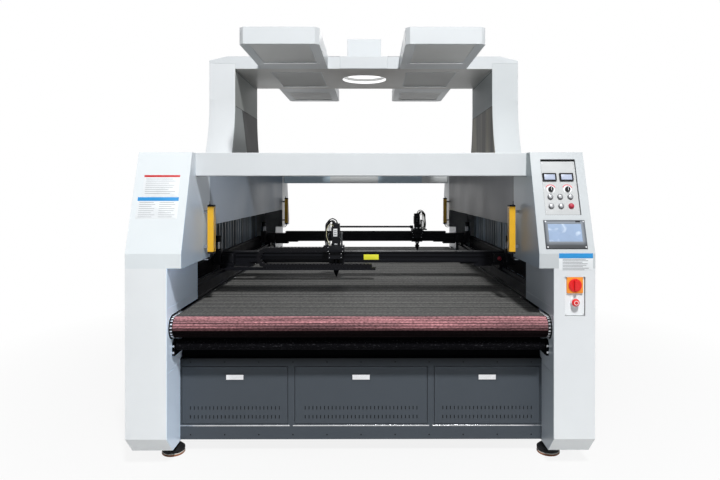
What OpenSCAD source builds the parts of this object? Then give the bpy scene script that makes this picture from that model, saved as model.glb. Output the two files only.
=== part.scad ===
// Fabric laser cutting machine: a conveyor bed between four towers, two travelling
// gantries with one cutting head each, and an arch that carries lamps and a camera.
// Units are millimetres. X runs across the machine, Y from the feed side to the rear
// and Z up. The origin is on the floor, below the middle of the machine.

/* [Machine] */
// Overall width
machine_w = 2450; // [2400:10:2500]
// Overall length from the feed side to the rear
machine_l = 3920; // [3900:10:4000]
// Height of the towers' flat tops
tower_top_z = 1671; // [1660:1:1700]
// Clearance below the bodywork
ground_gap = 64; // [60:1:66]
// Thickness of the sheet metal
sheet_t = 3; // [2:0.5:4]

/* [Towers] */
// Width of a tower's lower column
column_w = 217; // [210:1:220]
// Width of a tower's upper head
head_w = 293; // [290:1:300]
// Length of a tower along the machine
tower_l = 530; // [520:1:540]
// Height of the head's underside
head_z = 1053; // [1040:1:1060]
// Height where the front face starts to lean back
lean_z = 1129; // [1125:1:1135]
// How far the top edge stands back from the front
lean_back = 183; // [175:1:190]

/* [Bed] */
// Height of the belt's upper face
belt_z = 786; // [780:1:790]
// Width of the belt without its chains
belt_w = 1980; // [1960:10:1980]
// Outer radius of the belt on its rollers
belt_r = 56.5; // [55:0.5:58]
// Distance of the roller axes from the middle of the machine
roller_y = 1870; // [1865:1:1875]
// Number of slats on the belt
slat_count = 240; // [120:24:240]

/* [Gantries] */
// Front face of the front gantry's beam
front_beam_y = -550; // [-600:10:-500]
// Front face of the rear gantry's beam
rear_beam_y = 1300; // [1280:1:1300]
// Underside of the gantry beams
gantry_z = 905; // [905:1:905]
// Place of the front cutting head across the bed
front_head_x = -207; // [-300:1:-100]
// Place of the rear cutting head across the bed
rear_head_x = 560; // [400:1:700]

/* [Arch] */
// Height of the arch's underside
arch_z = 2417; // [2400:1:2430]
// Half the length of the arch along the machine
arch_half_l = 436; // [430:1:440]
// Half the length of a leg at its foot
leg_foot_half_l = 590; // [580:1:600]
// Radius of the hollow curve of a leg's edge
leg_r = 902; // [890:1:920]

/* [Hidden] */
$fn = 48;
eps = 1;
pin_gap = 0.05;

half_w = machine_w / 2;
half_l = machine_l / 2;
column_x = half_w - column_w;
head_x = half_w - head_w;
tower_y = half_l - tower_l;
cover_white = "#e8ecf0";
panel_grey = "#8a929c";
cabinet_grey = "#4b4f57";
deep_black = "#15171a";
steel = "#b8bcc2";

// ---------------------------------------------------------------- helpers

// Box from its lowest and its highest corner
module box(low, high) {
  translate(low) cube(high - low);
}

// Outline in the YZ plane, carried along X from x0 to x1
module along_x(x0, x1) {
  translate([x0, 0, 0]) rotate([90, 0, 90]) linear_extrude(height = x1 - x0) children();
}

// Outline in the XZ plane, carried along Y from y0 to y1
module along_y(y0, y1) {
  translate([0, y1, 0]) rotate([90, 0, 0]) linear_extrude(height = y1 - y0) children();
}

// Round bar along X, given its radius, its ends and its centre
module bar_x(r, x0, x1, y, z) {
  translate([x0, y, z]) rotate([0, 90, 0]) cylinder(r = r, h = x1 - x0);
}

// Round bar along Y, given its radius, its ends and its centre
module bar_y(r, y0, y1, x, z) {
  translate([x, y0, z]) rotate([-90, 0, 0]) cylinder(r = r, h = y1 - y0);
}

// The children and their mirror image across the machine
module both_sides() {
  children();
  mirror([1, 0, 0]) children();
}

// The children and their mirror image from front to rear
module both_ends() {
  children();
  mirror([0, 1, 0]) children();
}

// Corner i of a closed outline, with i running past either end
function corner(pts, i) = pts[(i + len(pts)) % len(pts)];
function heading(a, b) = (b - a) / norm(b - a);
function left_of(d) = [-d[1], d[0]];

// A convex outline that runs anticlockwise, drawn in by a wall of thickness t
function inset(pts, t) = [
  for (i = [0:len(pts) - 1])
    let (n1 = left_of(heading(corner(pts, i - 1), pts[i])))
    let (n2 = left_of(heading(pts[i], corner(pts, i + 1))))
    pts[i] + (n1 + n2) * t / (1 + n1 * n2)
];

// ---------------------------------------------------------------- base

rail_x0 = 1015;
rail_x1 = 1075;
rail_z0 = 72;
rail_z1 = 132;
tube_t = 4;
joint_gap = 0.1;
crossbar_ys = [-1270, -430, 430, 1270];

// Square steel tube along Z
module post(x, y, z0, z1, side) {
  translate([x, y, z0]) linear_extrude(height = z1 - z0) difference() {
    square(side, center = true);
    square(side - 2 * tube_t, center = true);
  }
}

module base_frame() {
  post_side = 60;
  post_x = (rail_x0 + rail_x1) / 2;
  rail_mid_z = (rail_z0 + rail_z1) / 2;
  color(deep_black) {
    both_sides() along_y(-1820, 1820) translate([post_x, rail_mid_z]) difference() {
      square(post_side, center = true);
      square(post_side - 2 * tube_t, center = true);
    }
    for (y = crossbar_ys) {
      along_x(-rail_x0 + joint_gap, rail_x0 - joint_gap) translate([y, rail_mid_z]) difference() {
        square(post_side, center = true);
        square(post_side - 2 * tube_t, center = true);
      }
      both_sides() post(post_x, y, rail_z1 + joint_gap, rail_beam_z0 - joint_gap, post_side);
    }
  }
}

foot_x = 1045;
foot_ys = [-1750, 0, 1750];
foot_pad_r = 62;

// Bell-shaped levelling mount: a ring that grips the floor, a bell and a threaded stud
module levelling_foot() {
  rotate_extrude() polygon([
    [0, 0], [foot_pad_r - 4, 0], [foot_pad_r, 4], [foot_pad_r, 11], [foot_pad_r - 3, 12],
    [foot_pad_r - 3, 20], [foot_pad_r, 22], [foot_pad_r, 32], [foot_pad_r - 14, 44], [26, 52],
    [26, 62], [12, 62], [12, rail_z0], [0, rail_z0]
  ]);
}

module levelling_feet() {
  color("#b5623a") for (y = foot_ys) both_sides() translate([foot_x, y, 0]) levelling_foot();
}

// ---------------------------------------------------------------- towers

toe_z = 162;
toe_y = -1869;
belt_slot_r = 66;
roller_z = belt_z - belt_r;

// Outlines of a front tower in the YZ plane, anticlockwise
column_outline = [
  [-half_l, toe_z], [toe_y, ground_gap], [-tower_y, ground_gap],
  [-tower_y, head_z], [-half_l, head_z]
];
head_outline = [
  [-half_l, head_z], [-tower_y, head_z], [-tower_y, tower_top_z],
  [-half_l + lean_back, tower_top_z], [-half_l, lean_z]
];

// An outline whose rear edge is carried past the open back of the shell
function open_back(pts) = [
  for (p = pts) [p[0] > -tower_y - 2 * sheet_t ? -tower_y + eps : p[0], p[1]]
];

// Front right tower as a sheet-metal shell, open at its back.
// The children are cut from the outside and keep a wall of their own.
module tower_shell() {
  cavity_column = open_back(inset(column_outline, sheet_t));
  cavity_head = open_back(inset(head_outline, sheet_t));
  difference() {
    union() {
      along_x(column_x, half_w) polygon(column_outline);
      along_x(head_x, half_w) polygon(head_outline);
    }
    along_x(column_x + sheet_t, half_w - sheet_t) polygon(cavity_column);
    along_x(head_x + sheet_t, half_w - sheet_t) polygon(cavity_head);
    box([column_x + sheet_t, -half_l + sheet_t, head_z - 2 * sheet_t],
        [half_w - sheet_t, -tower_y + eps, head_z + 2 * sheet_t]);
    belt_slot();
    seams();
    translate([foot_x, -foot_ys[2], ground_gap - eps]) cylinder(r = 30, h = sheet_t + 2 * eps);
  }
}

// Slot in a column's inner wall, where the belt's chain runs round its sprocket
module belt_slot() {
  x0 = column_x - eps;
  x1 = column_x + sheet_t + eps;
  bar_x(belt_slot_r, x0, x1, -roller_y, roller_z);
  box([x0, -roller_y, roller_z - belt_slot_r], [x1, -tower_y + eps, roller_z + belt_slot_r]);
}

// Joint lines between the plates of a column's inner face
module seams() {
  seam_w = 3;
  seam_d = 1.5;
  for (z = [500, 842])
    box([column_x - eps, -half_l + 12, z], [column_x + seam_d, -tower_y + eps, z + seam_w]);
}

// ---------------------------------------------------------------- controls

// Frame on the leaning face: x across, y up the slope, z out of the face
lean_angle = atan(lean_back / (tower_top_z - lean_z));
module on_lean(x, v) {
  translate([x, -half_l + v * sin(lean_angle), lean_z + v * cos(lean_angle)])
    rotate([90 - lean_angle, 0, 0]) children();
}

// Frame on a column's upright front face: x across, y up, z out of the face
module on_front(x, z) {
  translate([x, -half_l, z]) rotate([90, 0, 0]) children();
}

panel_x = 1082;
panel_v = 371;
panel_w = 191;
panel_h = 319;
pocket_d = 12;
plate_t = 3;
switch_x = 1119;
switch_z = 906;
switch_w = 107;
switch_h = 205;
isolator_z = 965;
stop_z = 876;

button_xs = [1023, 1076, 1131];
button_row_vs = [315, 263];
knob_xs = [1030, 1121];
knob_v = 358;
meter_xs = [1029, 1121];
meter_v = 428;
button_stem_r = 6;
knob_stem_r = 4;
stem_l = 14;

// Slab centred on the local origin, from depth z0 to z1
module slab(w, h, z0, z1) {
  translate([-w / 2, -h / 2, z0]) cube([w, h, z1 - z0]);
}

// Blocks behind the tower's skin in which the two pockets are sunk
module pocket_walls() {
  on_lean(panel_x, panel_v)
    slab(panel_w + 2 * sheet_t, panel_h + 2 * sheet_t, -pocket_d - sheet_t, 0);
  on_front(switch_x, switch_z)
    slab(switch_w + 2 * sheet_t, switch_h + 2 * sheet_t, -pocket_d - sheet_t, 0);
}

// The two pockets, each with a window through its floor for the wiring
module pockets() {
  rim = 14;
  on_lean(panel_x, panel_v) {
    slab(panel_w, panel_h, -pocket_d, eps);
    slab(panel_w - 2 * rim, panel_h - 2 * rim, -pocket_d - 2 * sheet_t, 0);
  }
  on_front(switch_x, switch_z) {
    slab(switch_w, switch_h, -pocket_d, eps);
    slab(switch_w - 2 * rim, switch_h - 2 * rim, -pocket_d - 2 * sheet_t, 0);
  }
}

module front_tower_left() {
  color(cover_white) mirror([1, 0, 0]) tower_shell();
}

module front_tower_right() {
  color(cover_white) difference() {
    union() {
      tower_shell();
      pocket_walls();
    }
    pockets();
  }
}

module rear_towers() {
  color(cover_white) both_sides() mirror([0, 1, 0]) tower_shell();
}

plate_gap = 0.5;

// Plate on the floor of the control pocket, bored for the buttons' and knobs' stems
module control_plate() {
  color("#d9dde2") difference() {
    on_lean(panel_x, panel_v)
      slab(panel_w - 2 * plate_gap, panel_h - 2 * plate_gap, -pocket_d, -pocket_d + plate_t);
    for (x = button_xs, v = button_row_vs)
      on_lean(x, v) translate([0, 0, -pocket_d - eps])
        cylinder(r = button_stem_r + pin_gap, h = plate_t + 2 * eps);
    for (x = knob_xs)
      on_lean(x, knob_v) translate([0, 0, -pocket_d - eps])
        cylinder(r = knob_stem_r + pin_gap, h = plate_t + 2 * eps);
  }
}

plate_top = -pocket_d + plate_t;
button_r = 11;
bezel_r = 15;
bezel_h = 5;
seat_gap = 0.02;

// Meters, button rims and dial rings, all fixed on the control plate
module panel_fittings() {
  color(deep_black) {
    for (x = meter_xs) on_lean(x, meter_v) slab(75, 43, plate_top + seat_gap, plate_top + 9);
    for (x = button_xs, v = button_row_vs) on_lean(x, v) difference() {
      translate([0, 0, plate_top + seat_gap]) cylinder(r = bezel_r, h = bezel_h);
      translate([0, 0, plate_top - eps]) cylinder(r = button_r + 0.4, h = bezel_h + 2 * eps);
    }
    for (x = knob_xs) on_lean(x, knob_v) difference() {
      translate([0, 0, plate_top + seat_gap]) cylinder(r = 22, h = 1);
      translate([0, 0, plate_top - eps]) cylinder(r = 15, h = 3);
      rotate(-90) translate([0, -16, plate_top - eps]) cube([30, 32, 3]);
    }
  }
}

// Push button with its stem through the plate
module button(x, v, shade) {
  travel_gap = 4.5;
  color(shade) on_lean(x, v) {
    translate([0, 0, plate_top + travel_gap]) cylinder(r = button_r, h = 5);
    translate([0, 0, plate_top - stem_l]) cylinder(r = button_stem_r, h = stem_l + travel_gap);
  }
}

// Turning knob with a grip bar and its stem through the plate
module knob(x) {
  color(deep_black) on_lean(x, knob_v) {
    translate([0, 0, plate_top + 1.5]) cylinder(r = 13.5, h = 9);
    translate([-2.5, -13, plate_top + 10]) cube([5, 26, 5]);
    translate([0, 0, plate_top - stem_l]) cylinder(r = knob_stem_r, h = stem_l + 2);
  }
}

module knob_left() { knob(knob_xs[0]); }
module knob_right() { knob(knob_xs[1]); }
module button_upper_left() { button(button_xs[0], button_row_vs[0], steel); }
module button_upper_middle() { button(button_xs[1], button_row_vs[0], steel); }
module button_upper_right() { button(button_xs[2], button_row_vs[0], steel); }
module button_lower_left() { button(button_xs[0], button_row_vs[1], steel); }
module button_lower_middle() { button(button_xs[1], button_row_vs[1], steel); }
module button_lower_right() { button(button_xs[2], button_row_vs[1], "#c83246"); }

// Operating panel on the leaning face: a frame with bevelled edges round a screen
module touch_panel() {
  screen_x = 1079;
  screen_v = 104;
  w = 219;
  h = 157;
  depth = 6;
  bevel = 3;
  color("#8f959d") on_lean(screen_x, screen_v) difference() {
    union() {
      slab(w, h, 0, depth - bevel);
      slab(w - 2 * bevel, h - 2 * bevel, 0, depth);
    }
    translate([-1.5, 10, 0]) slab(177, 97, depth - 1.2, depth + eps);
  }
}

isolator_stem_r = 6;
stop_stem_r = 8;

// Backplate with the isolator's square base and the stop button's collar
module switch_plate() {
  color(cover_white) difference() {
    union() {
      on_front(switch_x, switch_z)
        slab(switch_w - 2 * plate_gap, switch_h - 2 * plate_gap, -pocket_d, plate_top);
      on_front(switch_x, isolator_z) slab(84, 84, plate_top, plate_top + 8);
      on_front(switch_x, stop_z) translate([0, 0, plate_top]) cylinder(r = 23, h = 8);
    }
    on_front(switch_x, isolator_z) translate([0, 0, -pocket_d - eps])
      cylinder(r = isolator_stem_r + pin_gap, h = 30);
    on_front(switch_x, stop_z) translate([0, 0, -pocket_d - eps])
      cylinder(r = stop_stem_r + pin_gap, h = 30);
  }
}

module isolator_handle() {
  base = plate_top + 8.5;
  color("#e01818") on_front(switch_x, isolator_z) {
    translate([0, 0, base]) cylinder(r = 27, h = 7);
    slab(15, 50, base + 6, handle_reach);
    translate([0, 0, -pocket_d - 10]) cylinder(r = isolator_stem_r, h = base + pocket_d + 12);
  }
}

// Mushroom-headed stop button
module stop_button() {
  neck = plate_top + 8;
  color("#e8202a") on_front(switch_x, stop_z) {
    rotate_extrude() polygon([
      [0, neck + 6], [14, neck + 6], [20, neck + 8], [20, neck + 13],
      [18, neck + 17], [12, neck + 20], [0, neck + 21]
    ]);
    translate([0, 0, -pocket_d - 12]) cylinder(r = stop_stem_r, h = neck + 8 + pocket_d + 12);
  }
}

// ---------------------------------------------------------------- bodywork

cover_z0 = 1246;

// Rectangular tube seen along its length, from its lowest to its highest corner
module tube_section(low, high, t) {
  difference() {
    translate(low) square(high - low);
    translate(low + [t, t]) square(high - low - [2 * t, 2 * t]);
  }
}

module side_covers() {
  color(cover_white) both_sides() along_y(-tower_y, tower_y)
    tube_section([head_x, cover_z0], [half_w, tower_top_z], sheet_t);
}

rib_pitch = 95;
rib_depth = 16;
rib_z0 = 800;

// Plan of one pleat: two flats joined by two slopes
function pleat(y) = [[0, y], [0, y + 32], [rib_depth, y + 46], [rib_depth, y + 81]];

// Outer skins with panel joints, and the pleated sheets seen from inside the machine
module side_panels() {
  skin_t = sheet_t;
  pleat_count = floor(2 * tower_y / rib_pitch) - 1;
  first = -pleat_count * rib_pitch / 2;
  inner_edge = [for (i = [0:pleat_count - 1], p = pleat(first + i * rib_pitch)) p];
  outer_edge = [for (i = [len(inner_edge) - 1:-1:0]) inner_edge[i] + [sheet_t, 0]];
  color(panel_grey) both_sides() {
    translate([half_w - skin_t - rib_depth - 12, 0, rib_z0])
      linear_extrude(height = cover_z0 - rib_z0) polygon(concat(inner_edge, outer_edge));
    difference() {
      box([half_w - skin_t, -tower_y, ground_gap + 8], [half_w, tower_y, cover_z0]);
      for (y = [-715, 0, 715])
        box([half_w - 1.5, y - 2, ground_gap], [half_w + eps, y + 2, cover_z0 + eps]);
      for (y = [-1072, -357, 357, 1072], row = [0:1], i = [-9:9])
        box([half_w - skin_t - eps, y + i * 22 - 3, 200 + row * 50],
            [half_w + eps, y + i * 22 + 3, 228 + row * 50]);
    }
  }
}

beam_y0 = -1715;
beam_y1 = -1585;
beam_z0 = 1542;

module cross_beams() {
  color(cover_white) both_ends() along_x(-head_x, head_x)
    tube_section([beam_y0, beam_z0], [beam_y1, tower_top_z + 1], sheet_t);
}

// ---------------------------------------------------------------- cabinets

cabinet_y = -1751;
cabinet_depth = 451;
cabinet_z0 = 72;
cabinet_z1 = 523;
door_z0 = 157;
door_z1 = 480;
side_door_x0 = 407;
side_door_x1 = 1000;
middle_door_x = 371;
door_gap = 3;
door_d = 18;
jamb = 20;
door_openings = [
  [-side_door_x1, -side_door_x0], [-middle_door_x, middle_door_x], [side_door_x0, side_door_x1]
];
hinge_y = cabinet_y + 6;
hinge_z = door_z0 + 9;
hinge_r = 4;
hinge_reach = 10;

module front_cabinet() {
  color(cabinet_grey) difference() {
    union() {
      difference() {
        box([-column_x, cabinet_y, cabinet_z0], [column_x, cabinet_y + cabinet_depth, cabinet_z1]);
        box([-column_x + sheet_t, cabinet_y + sheet_t, cabinet_z0 + sheet_t],
            [column_x - sheet_t, cabinet_y + cabinet_depth - sheet_t, cabinet_z1 - sheet_t]);
      }
      for (o = door_openings, x = o)
        box([max(x - jamb, -column_x), cabinet_y, door_z0 - 15],
            [min(x + jamb, column_x), cabinet_y + jamb, door_z1 + 15]);
    }
    for (o = door_openings)
      box([o[0], cabinet_y - eps, door_z0], [o[1], cabinet_y + jamb + eps, door_z1]);
    for (o = door_openings)
      bar_x(hinge_r + pin_gap, o[0] - hinge_reach - 2, o[1] + hinge_reach + 2, hinge_y, hinge_z);
  }
}

latch_w = 96;
latch_h = 28;
latch_z = 418;
latch_t = 3;
cup_d = 14;
latch_pin_r = 2;
latch_pin_z = latch_z + latch_h / 2 - 4;
latch_pin_y = cabinet_y + 4;

// Drop-down door, folded from one sheet, with vent slots and the cup of its latch
module door(x0, x1, slots, latch_x) {
  slot_w = 5;
  slot_h = 20;
  slot_pitch = 21.5;
  low = [x0 + door_gap, cabinet_y, door_z0 + door_gap];
  high = [x1 - door_gap, cabinet_y + door_d, door_z1 - door_gap];
  mid_x = (x0 + x1) / 2;
  cup = [latch_w / 2 + 3 + sheet_t, cup_d, latch_h / 2 + 2 + sheet_t];
  color(cabinet_grey) difference() {
    union() {
      difference() {
        box(low, high);
        box(low + [sheet_t, sheet_t, sheet_t], high + [-sheet_t, eps, -sheet_t]);
      }
      box([latch_x - cup[0], cabinet_y, latch_z - cup[2]],
          [latch_x + cup[0], cabinet_y + cup[1], latch_z + cup[2]]);
      for (s = [-1, 1])
        bar_x(hinge_r, s < 0 ? low[0] - hinge_reach : high[0] - 12,
              s < 0 ? low[0] + 12 : high[0] + hinge_reach, hinge_y, hinge_z);
    }
    box([latch_x - cup[0] + sheet_t, cabinet_y - eps, latch_z - cup[2] + sheet_t],
        [latch_x + cup[0] - sheet_t, cabinet_y + cup[1] - sheet_t, latch_z + cup[2] - sheet_t]);
    bar_x(latch_pin_r + pin_gap, latch_x - cup[0] - eps, latch_x + cup[0] + eps,
          latch_pin_y, latch_pin_z);
    for (z = [197, 247], i = [0:slots - 1])
      box([mid_x + (i - (slots - 1) / 2) * slot_pitch - slot_w / 2, cabinet_y - eps, z - slot_h / 2],
          [mid_x + (i - (slots - 1) / 2) * slot_pitch + slot_w / 2, cabinet_y + 5, z + slot_h / 2]);
  }
}

module door_left() { door(-side_door_x1, -side_door_x0, 24, -704); }
module door_middle() { door(-middle_door_x, middle_door_x, 30, 0); }
module door_right() { door(side_door_x0, side_door_x1, 24, 704); }

// Paddle of a door latch, hung from a pin near its upper edge
module latch(x) {
  color(steel) {
    box([x - latch_w / 2, cabinet_y, latch_z - latch_h / 2 + 0.5],
        [x + latch_w / 2, cabinet_y + latch_t, latch_z + latch_h / 2 - 0.5]);
    box([x - latch_w / 2, cabinet_y + 1, latch_pin_z - 3],
        [x + latch_w / 2, latch_pin_y + 3, latch_pin_z + 3]);
    bar_x(latch_pin_r, x - latch_w / 2 - 5, x + latch_w / 2 + 5, latch_pin_y, latch_pin_z);
  }
}

module latch_left() { latch(-704); }
module latch_middle() { latch(0); }
module latch_right() { latch(704); }

duct_x = 500;
duct_z = 230;
duct_r = 75;
handle_reach = 21.5;

// Closed cabinet at the rear, with an outlet for each blower and vent slots
module rear_cabinet() {
  rear_y = -cabinet_y;
  inner_y = rear_y - cabinet_depth;
  color(cabinet_grey) difference() {
    union() {
      difference() {
        box([-column_x, inner_y, cabinet_z0], [column_x, rear_y, cabinet_z1]);
        box([-column_x + sheet_t, inner_y + sheet_t, cabinet_z0 + sheet_t],
            [column_x - sheet_t, rear_y - sheet_t, cabinet_z1 - sheet_t]);
      }
      both_sides() bar_y(duct_r, rear_y - sheet_t, half_l + handle_reach, duct_x, duct_z);
    }
    both_sides() bar_y(duct_r - sheet_t, rear_y - 10, half_l + handle_reach + eps, duct_x, duct_z);
    for (x = [-760, 0, 760], row = [0:1], i = [-7:7])
      box([x + i * 21.5 - 2.5, rear_y - 5, 400 + row * 50],
          [x + i * 21.5 + 2.5, rear_y + eps, 420 + row * 50]);
    for (x = [-389, 389])
      box([x - 1.5, rear_y - 1.5, cabinet_z0 - eps], [x + 1.5, rear_y + eps, cabinet_z1 + eps]);
  }
}

// Two radial blowers that draw air down through the belt
module suction_blowers() {
  color(deep_black) both_sides() {
    bar_y(130, 1540, 1650, duct_x, duct_z);
    bar_y(duct_r - 8, 1650, 1748, duct_x, duct_z);
    bar_y(60, 1450, 1540, duct_x, duct_z);
    box([duct_x - 110, 1550, 75], [duct_x + 110, 1640, 130]);
  }
}

// Sealed glass laser tubes on their cradles
module laser_tubes() {
  tube_r = 40;
  tube_z = 455;
  color("#cfe3ee") for (y = [1355, 1450]) {
    bar_x(tube_r, -820, 820, y, tube_z);
    for (x = [-600, 600]) box([x - 15, y - 36, 75], [x + 15, y + 36, tube_z - 20]);
  }
}

// ---------------------------------------------------------------- conveyor

slat_h = 3;
belt_t = 10;

// Point on the belt's loop, d along it and h above its inner line of radius r
half_turn = PI * belt_r;
straight = 2 * roller_y;
loop_l = 2 * straight + 2 * half_turn;
function loop_point(d, h) =
  d < straight ? [-roller_y + d, roller_z + h] :
  d < straight + half_turn
    ? let (a = 90 - (d - straight) / belt_r * 180 / PI)
      [roller_y + h * cos(a), roller_z + h * sin(a)] :
  d < 2 * straight + half_turn ? [roller_y - (d - straight - half_turn), roller_z - h] :
    let (a = 270 - (d - 2 * straight - half_turn) / belt_r * 180 / PI)
    [-roller_y + h * cos(a), roller_z + h * sin(a)];

// Stadium-shaped ring round both rollers, between two radii
module loop_ring(r_in, r_out) {
  difference() {
    union() {
      for (s = [-1, 1]) translate([s * roller_y, roller_z]) circle(r = r_out);
      translate([-roller_y, roller_z - r_out]) square([2 * roller_y, 2 * r_out]);
    }
    for (s = [-1, 1]) translate([s * roller_y, roller_z]) circle(r = r_in);
    translate([-roller_y, roller_z - r_in]) square([2 * roller_y, 2 * r_in]);
  }
}

// Belt of cross slats on a thin carrier
module conveyor_belt() {
  pitch = loop_l / slat_count;
  land = pitch * 0.78;
  outline = [
    for (i = [0:slat_count - 1], c = [[0, belt_r], [land, belt_r],
         [land + 1, belt_r - slat_h], [pitch - 1, belt_r - slat_h]])
      loop_point(i * pitch + c[0], c[1])
  ];
  color("#5a5d5c") along_x(-belt_w / 2, belt_w / 2) difference() {
    polygon([for (i = [len(outline) - 1:-1:0]) outline[i]]);
    for (s = [-1, 1]) translate([s * roller_y, roller_z]) circle(r = belt_r - belt_t);
    translate([-roller_y, roller_z - belt_r + belt_t])
      square([2 * roller_y, 2 * (belt_r - belt_t)]);
  }
}

chain_w = 14;
pin_count = 12;

// Side chains of the belt, with the pin heads that show on their ends
module belt_chains() {
  color(deep_black) both_sides() {
    along_x(belt_w / 2, belt_w / 2 + chain_w) loop_ring(belt_r - belt_t, belt_r - 1);
    for (s = [-1, 1], i = [0:pin_count])
      bar_x(3.5, belt_w / 2 + chain_w - 1, belt_w / 2 + chain_w + 2,
            s * (roller_y + (belt_r - 6) * sin(i * 180 / pin_count)),
            roller_z + (belt_r - 6) * cos(i * 180 / pin_count));
  }
}

rail_beam_x0 = 1030;
rail_beam_x1 = 1110;
rail_beam_z0 = 700;
rail_beam_z1 = gantry_z - 48;
rail_x = 1070;
rail_w = 20;
rail_top = gantry_z - 30;

// Box under the upper run that holds it flat and sucks the cloth down
module suction_table() {
  table_x = 975;
  table_y = 1790;
  low_z = 690;
  top_z = belt_z - belt_t - 4;
  color("#30343a") {
    difference() {
      box([-table_x, -table_y, low_z], [table_x, table_y, top_z]);
      box([-table_x + sheet_t, -table_y + sheet_t, low_z + sheet_t],
          [table_x - sheet_t, table_y - sheet_t, top_z - sheet_t]);
      for (i = [-11:11])
        box([-table_x + 40, i * 150 - 45, top_z - 2 * sheet_t], [table_x - 40, i * 150 + 45, top_z + eps]);
    }
    for (y = [-1300, -650, 0, 650, 1300])
      both_sides() box([table_x, y - 30, 705], [rail_beam_x0, y + 30, 745]);
  }
}

// Side beams with a guide rail on each, and the decks beside the belt
module guide_rails() {
  rail_end = tower_y - 5;
  color(deep_black) both_sides() {
    along_y(-rail_end, rail_end)
      tube_section([rail_beam_x0, rail_beam_z0], [rail_beam_x1, rail_beam_z1], tube_t);
    box([rail_x - rail_w / 2, -rail_end, rail_beam_z1], [rail_x + rail_w / 2, rail_end, rail_top]);
    box([column_x + 2, -rail_end, belt_z + 6], [rail_beam_x0, rail_end, belt_z + 12]);
  }
}

roller_r = belt_r - belt_t - 0.5;
shaft_r = 17.5;
bearing_x0 = column_x + sheet_t;
bearing_x1 = bearing_x0 + 35;

// Roller tube with its sprocket discs and stub shafts
module roller(y, right_end) {
  bar_x(roller_r, -belt_w / 2 + 6, belt_w / 2 - 6, y, roller_z);
  for (s = [-1, 1])
    bar_x(roller_r, s < 0 ? -belt_w / 2 - 11 : belt_w / 2 + 1, s < 0 ? -belt_w / 2 - 1 : belt_w / 2 + 11,
          y, roller_z);
  bar_x(shaft_r, -bearing_x1 - 5, right_end, y, roller_z);
}

module front_roller() { color(steel) roller(-roller_y, bearing_x1 + 70); }
module rear_roller() { color(steel) roller(roller_y, bearing_x1 + 5); }

// Bearing plates inside the columns, one at each roller end
module roller_bearings() {
  color(deep_black) both_ends() both_sides() difference() {
    union() {
      box([bearing_x0, -half_l + 12, roller_z - 78], [bearing_x0 + 10, -roller_y + 90, roller_z + 78]);
      bar_x(35, bearing_x0, bearing_x1, -roller_y, roller_z);
    }
    bar_x(shaft_r + pin_gap, bearing_x0 - eps, bearing_x1 + eps, -roller_y, roller_z);
  }
}

// Gear motor on the end of the front roller's shaft
module conveyor_motor() {
  gear_x1 = bearing_x1 + 80;
  color("#2f4f7f") difference() {
    union() {
      box([bearing_x1, -roller_y - 60, roller_z - 60], [gear_x1, -roller_y + 60, roller_z + 60]);
      bar_y(55, -roller_y + 60, -roller_y + 290, (bearing_x1 + gear_x1) / 2, roller_z);
      box([bearing_x1 + 12, -roller_y + 290, roller_z - 40],
          [gear_x1 - 12, -roller_y + 310, roller_z + 40]);
    }
    bar_x(shaft_r + pin_gap, bearing_x1 - eps, bearing_x1 + 75, -roller_y, roller_z);
  }
}

guide_y = -1850;
guide_z = 629;
guide_r = 29;
guide_pin_r = 10;
bracket_t = 14;

module guide_roller() {
  color(deep_black) {
    bar_x(guide_r, -column_x + 20, column_x - 20, guide_y, guide_z);
    bar_x(guide_pin_r, -column_x + 3, column_x - 3, guide_y, guide_z);
  }
}

// Black sheet below the belt's return run, and the guide roller's end brackets
module lower_apron() {
  color(deep_black) {
    both_ends() box([-column_x + 3, cabinet_y + 25, cabinet_z1],
                    [column_x - 3, cabinet_y + 25 + sheet_t, 666]);
    both_sides() difference() {
      union() {
        box([column_x - bracket_t, guide_y - 30, guide_z - 55], [column_x, cabinet_y + 25, guide_z]);
        bar_x(30, column_x - bracket_t, column_x, guide_y, guide_z);
      }
      bar_x(guide_pin_r + pin_gap, column_x - bracket_t - eps, column_x + eps, guide_y, guide_z);
    }
  }
}

// ---------------------------------------------------------------- light curtains

curtain_x = 890;
curtain_z0 = 1087;
curtain_z1 = 1374;
curtain_ys = [-1546, 1461];
curtain_w = 36;
curtain_d = 44;
cap_h = 10;

module light_curtains() {
  color("#f2b71a") for (y = curtain_ys) both_sides() difference() {
    box([curtain_x - curtain_w / 2, y - curtain_d / 2, curtain_z0 + cap_h],
        [curtain_x + curtain_w / 2, y + curtain_d / 2, curtain_z1 - cap_h]);
    box([curtain_x - curtain_w / 2 - eps, y - 8, curtain_z0 + cap_h + 6],
        [curtain_x - curtain_w / 2 + 3, y + 8, curtain_z1 - cap_h - 6]);
  }
}

// End caps, stand-off brackets and the short leads into the towers
module curtain_fittings() {
  lead_r = 3.5;
  bend_r = 28;
  color(deep_black) for (y = curtain_ys) both_sides() {
    for (z = [curtain_z0, curtain_z1 - cap_h])
      box([curtain_x - curtain_w / 2, y - curtain_d / 2, z],
          [curtain_x + curtain_w / 2, y + curtain_d / 2, z + cap_h]);
    for (z = [curtain_z0 + 40, curtain_z1 - 40])
      box([curtain_x + curtain_w / 2, y - 9, z - 8], [head_x, y + 9, z + 8]);
    translate([curtain_x, y, curtain_z0 - 10]) cylinder(r = 7, h = 10);
    translate([curtain_x + bend_r, y, curtain_z0 - 10])
      rotate([90, 0, 0]) rotate([0, 0, 180]) rotate_extrude(angle = 90)
        translate([bend_r, 0]) circle(r = lead_r);
    bar_x(lead_r, curtain_x + bend_r, head_x, y, curtain_z0 - 10 - bend_r);
  }
}

// ---------------------------------------------------------------- arch

leg_x0 = 1013;
leg_x1 = 1217;
leg_top = 2460;
curve_z = 2175;
plinth_h = 28;

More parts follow.
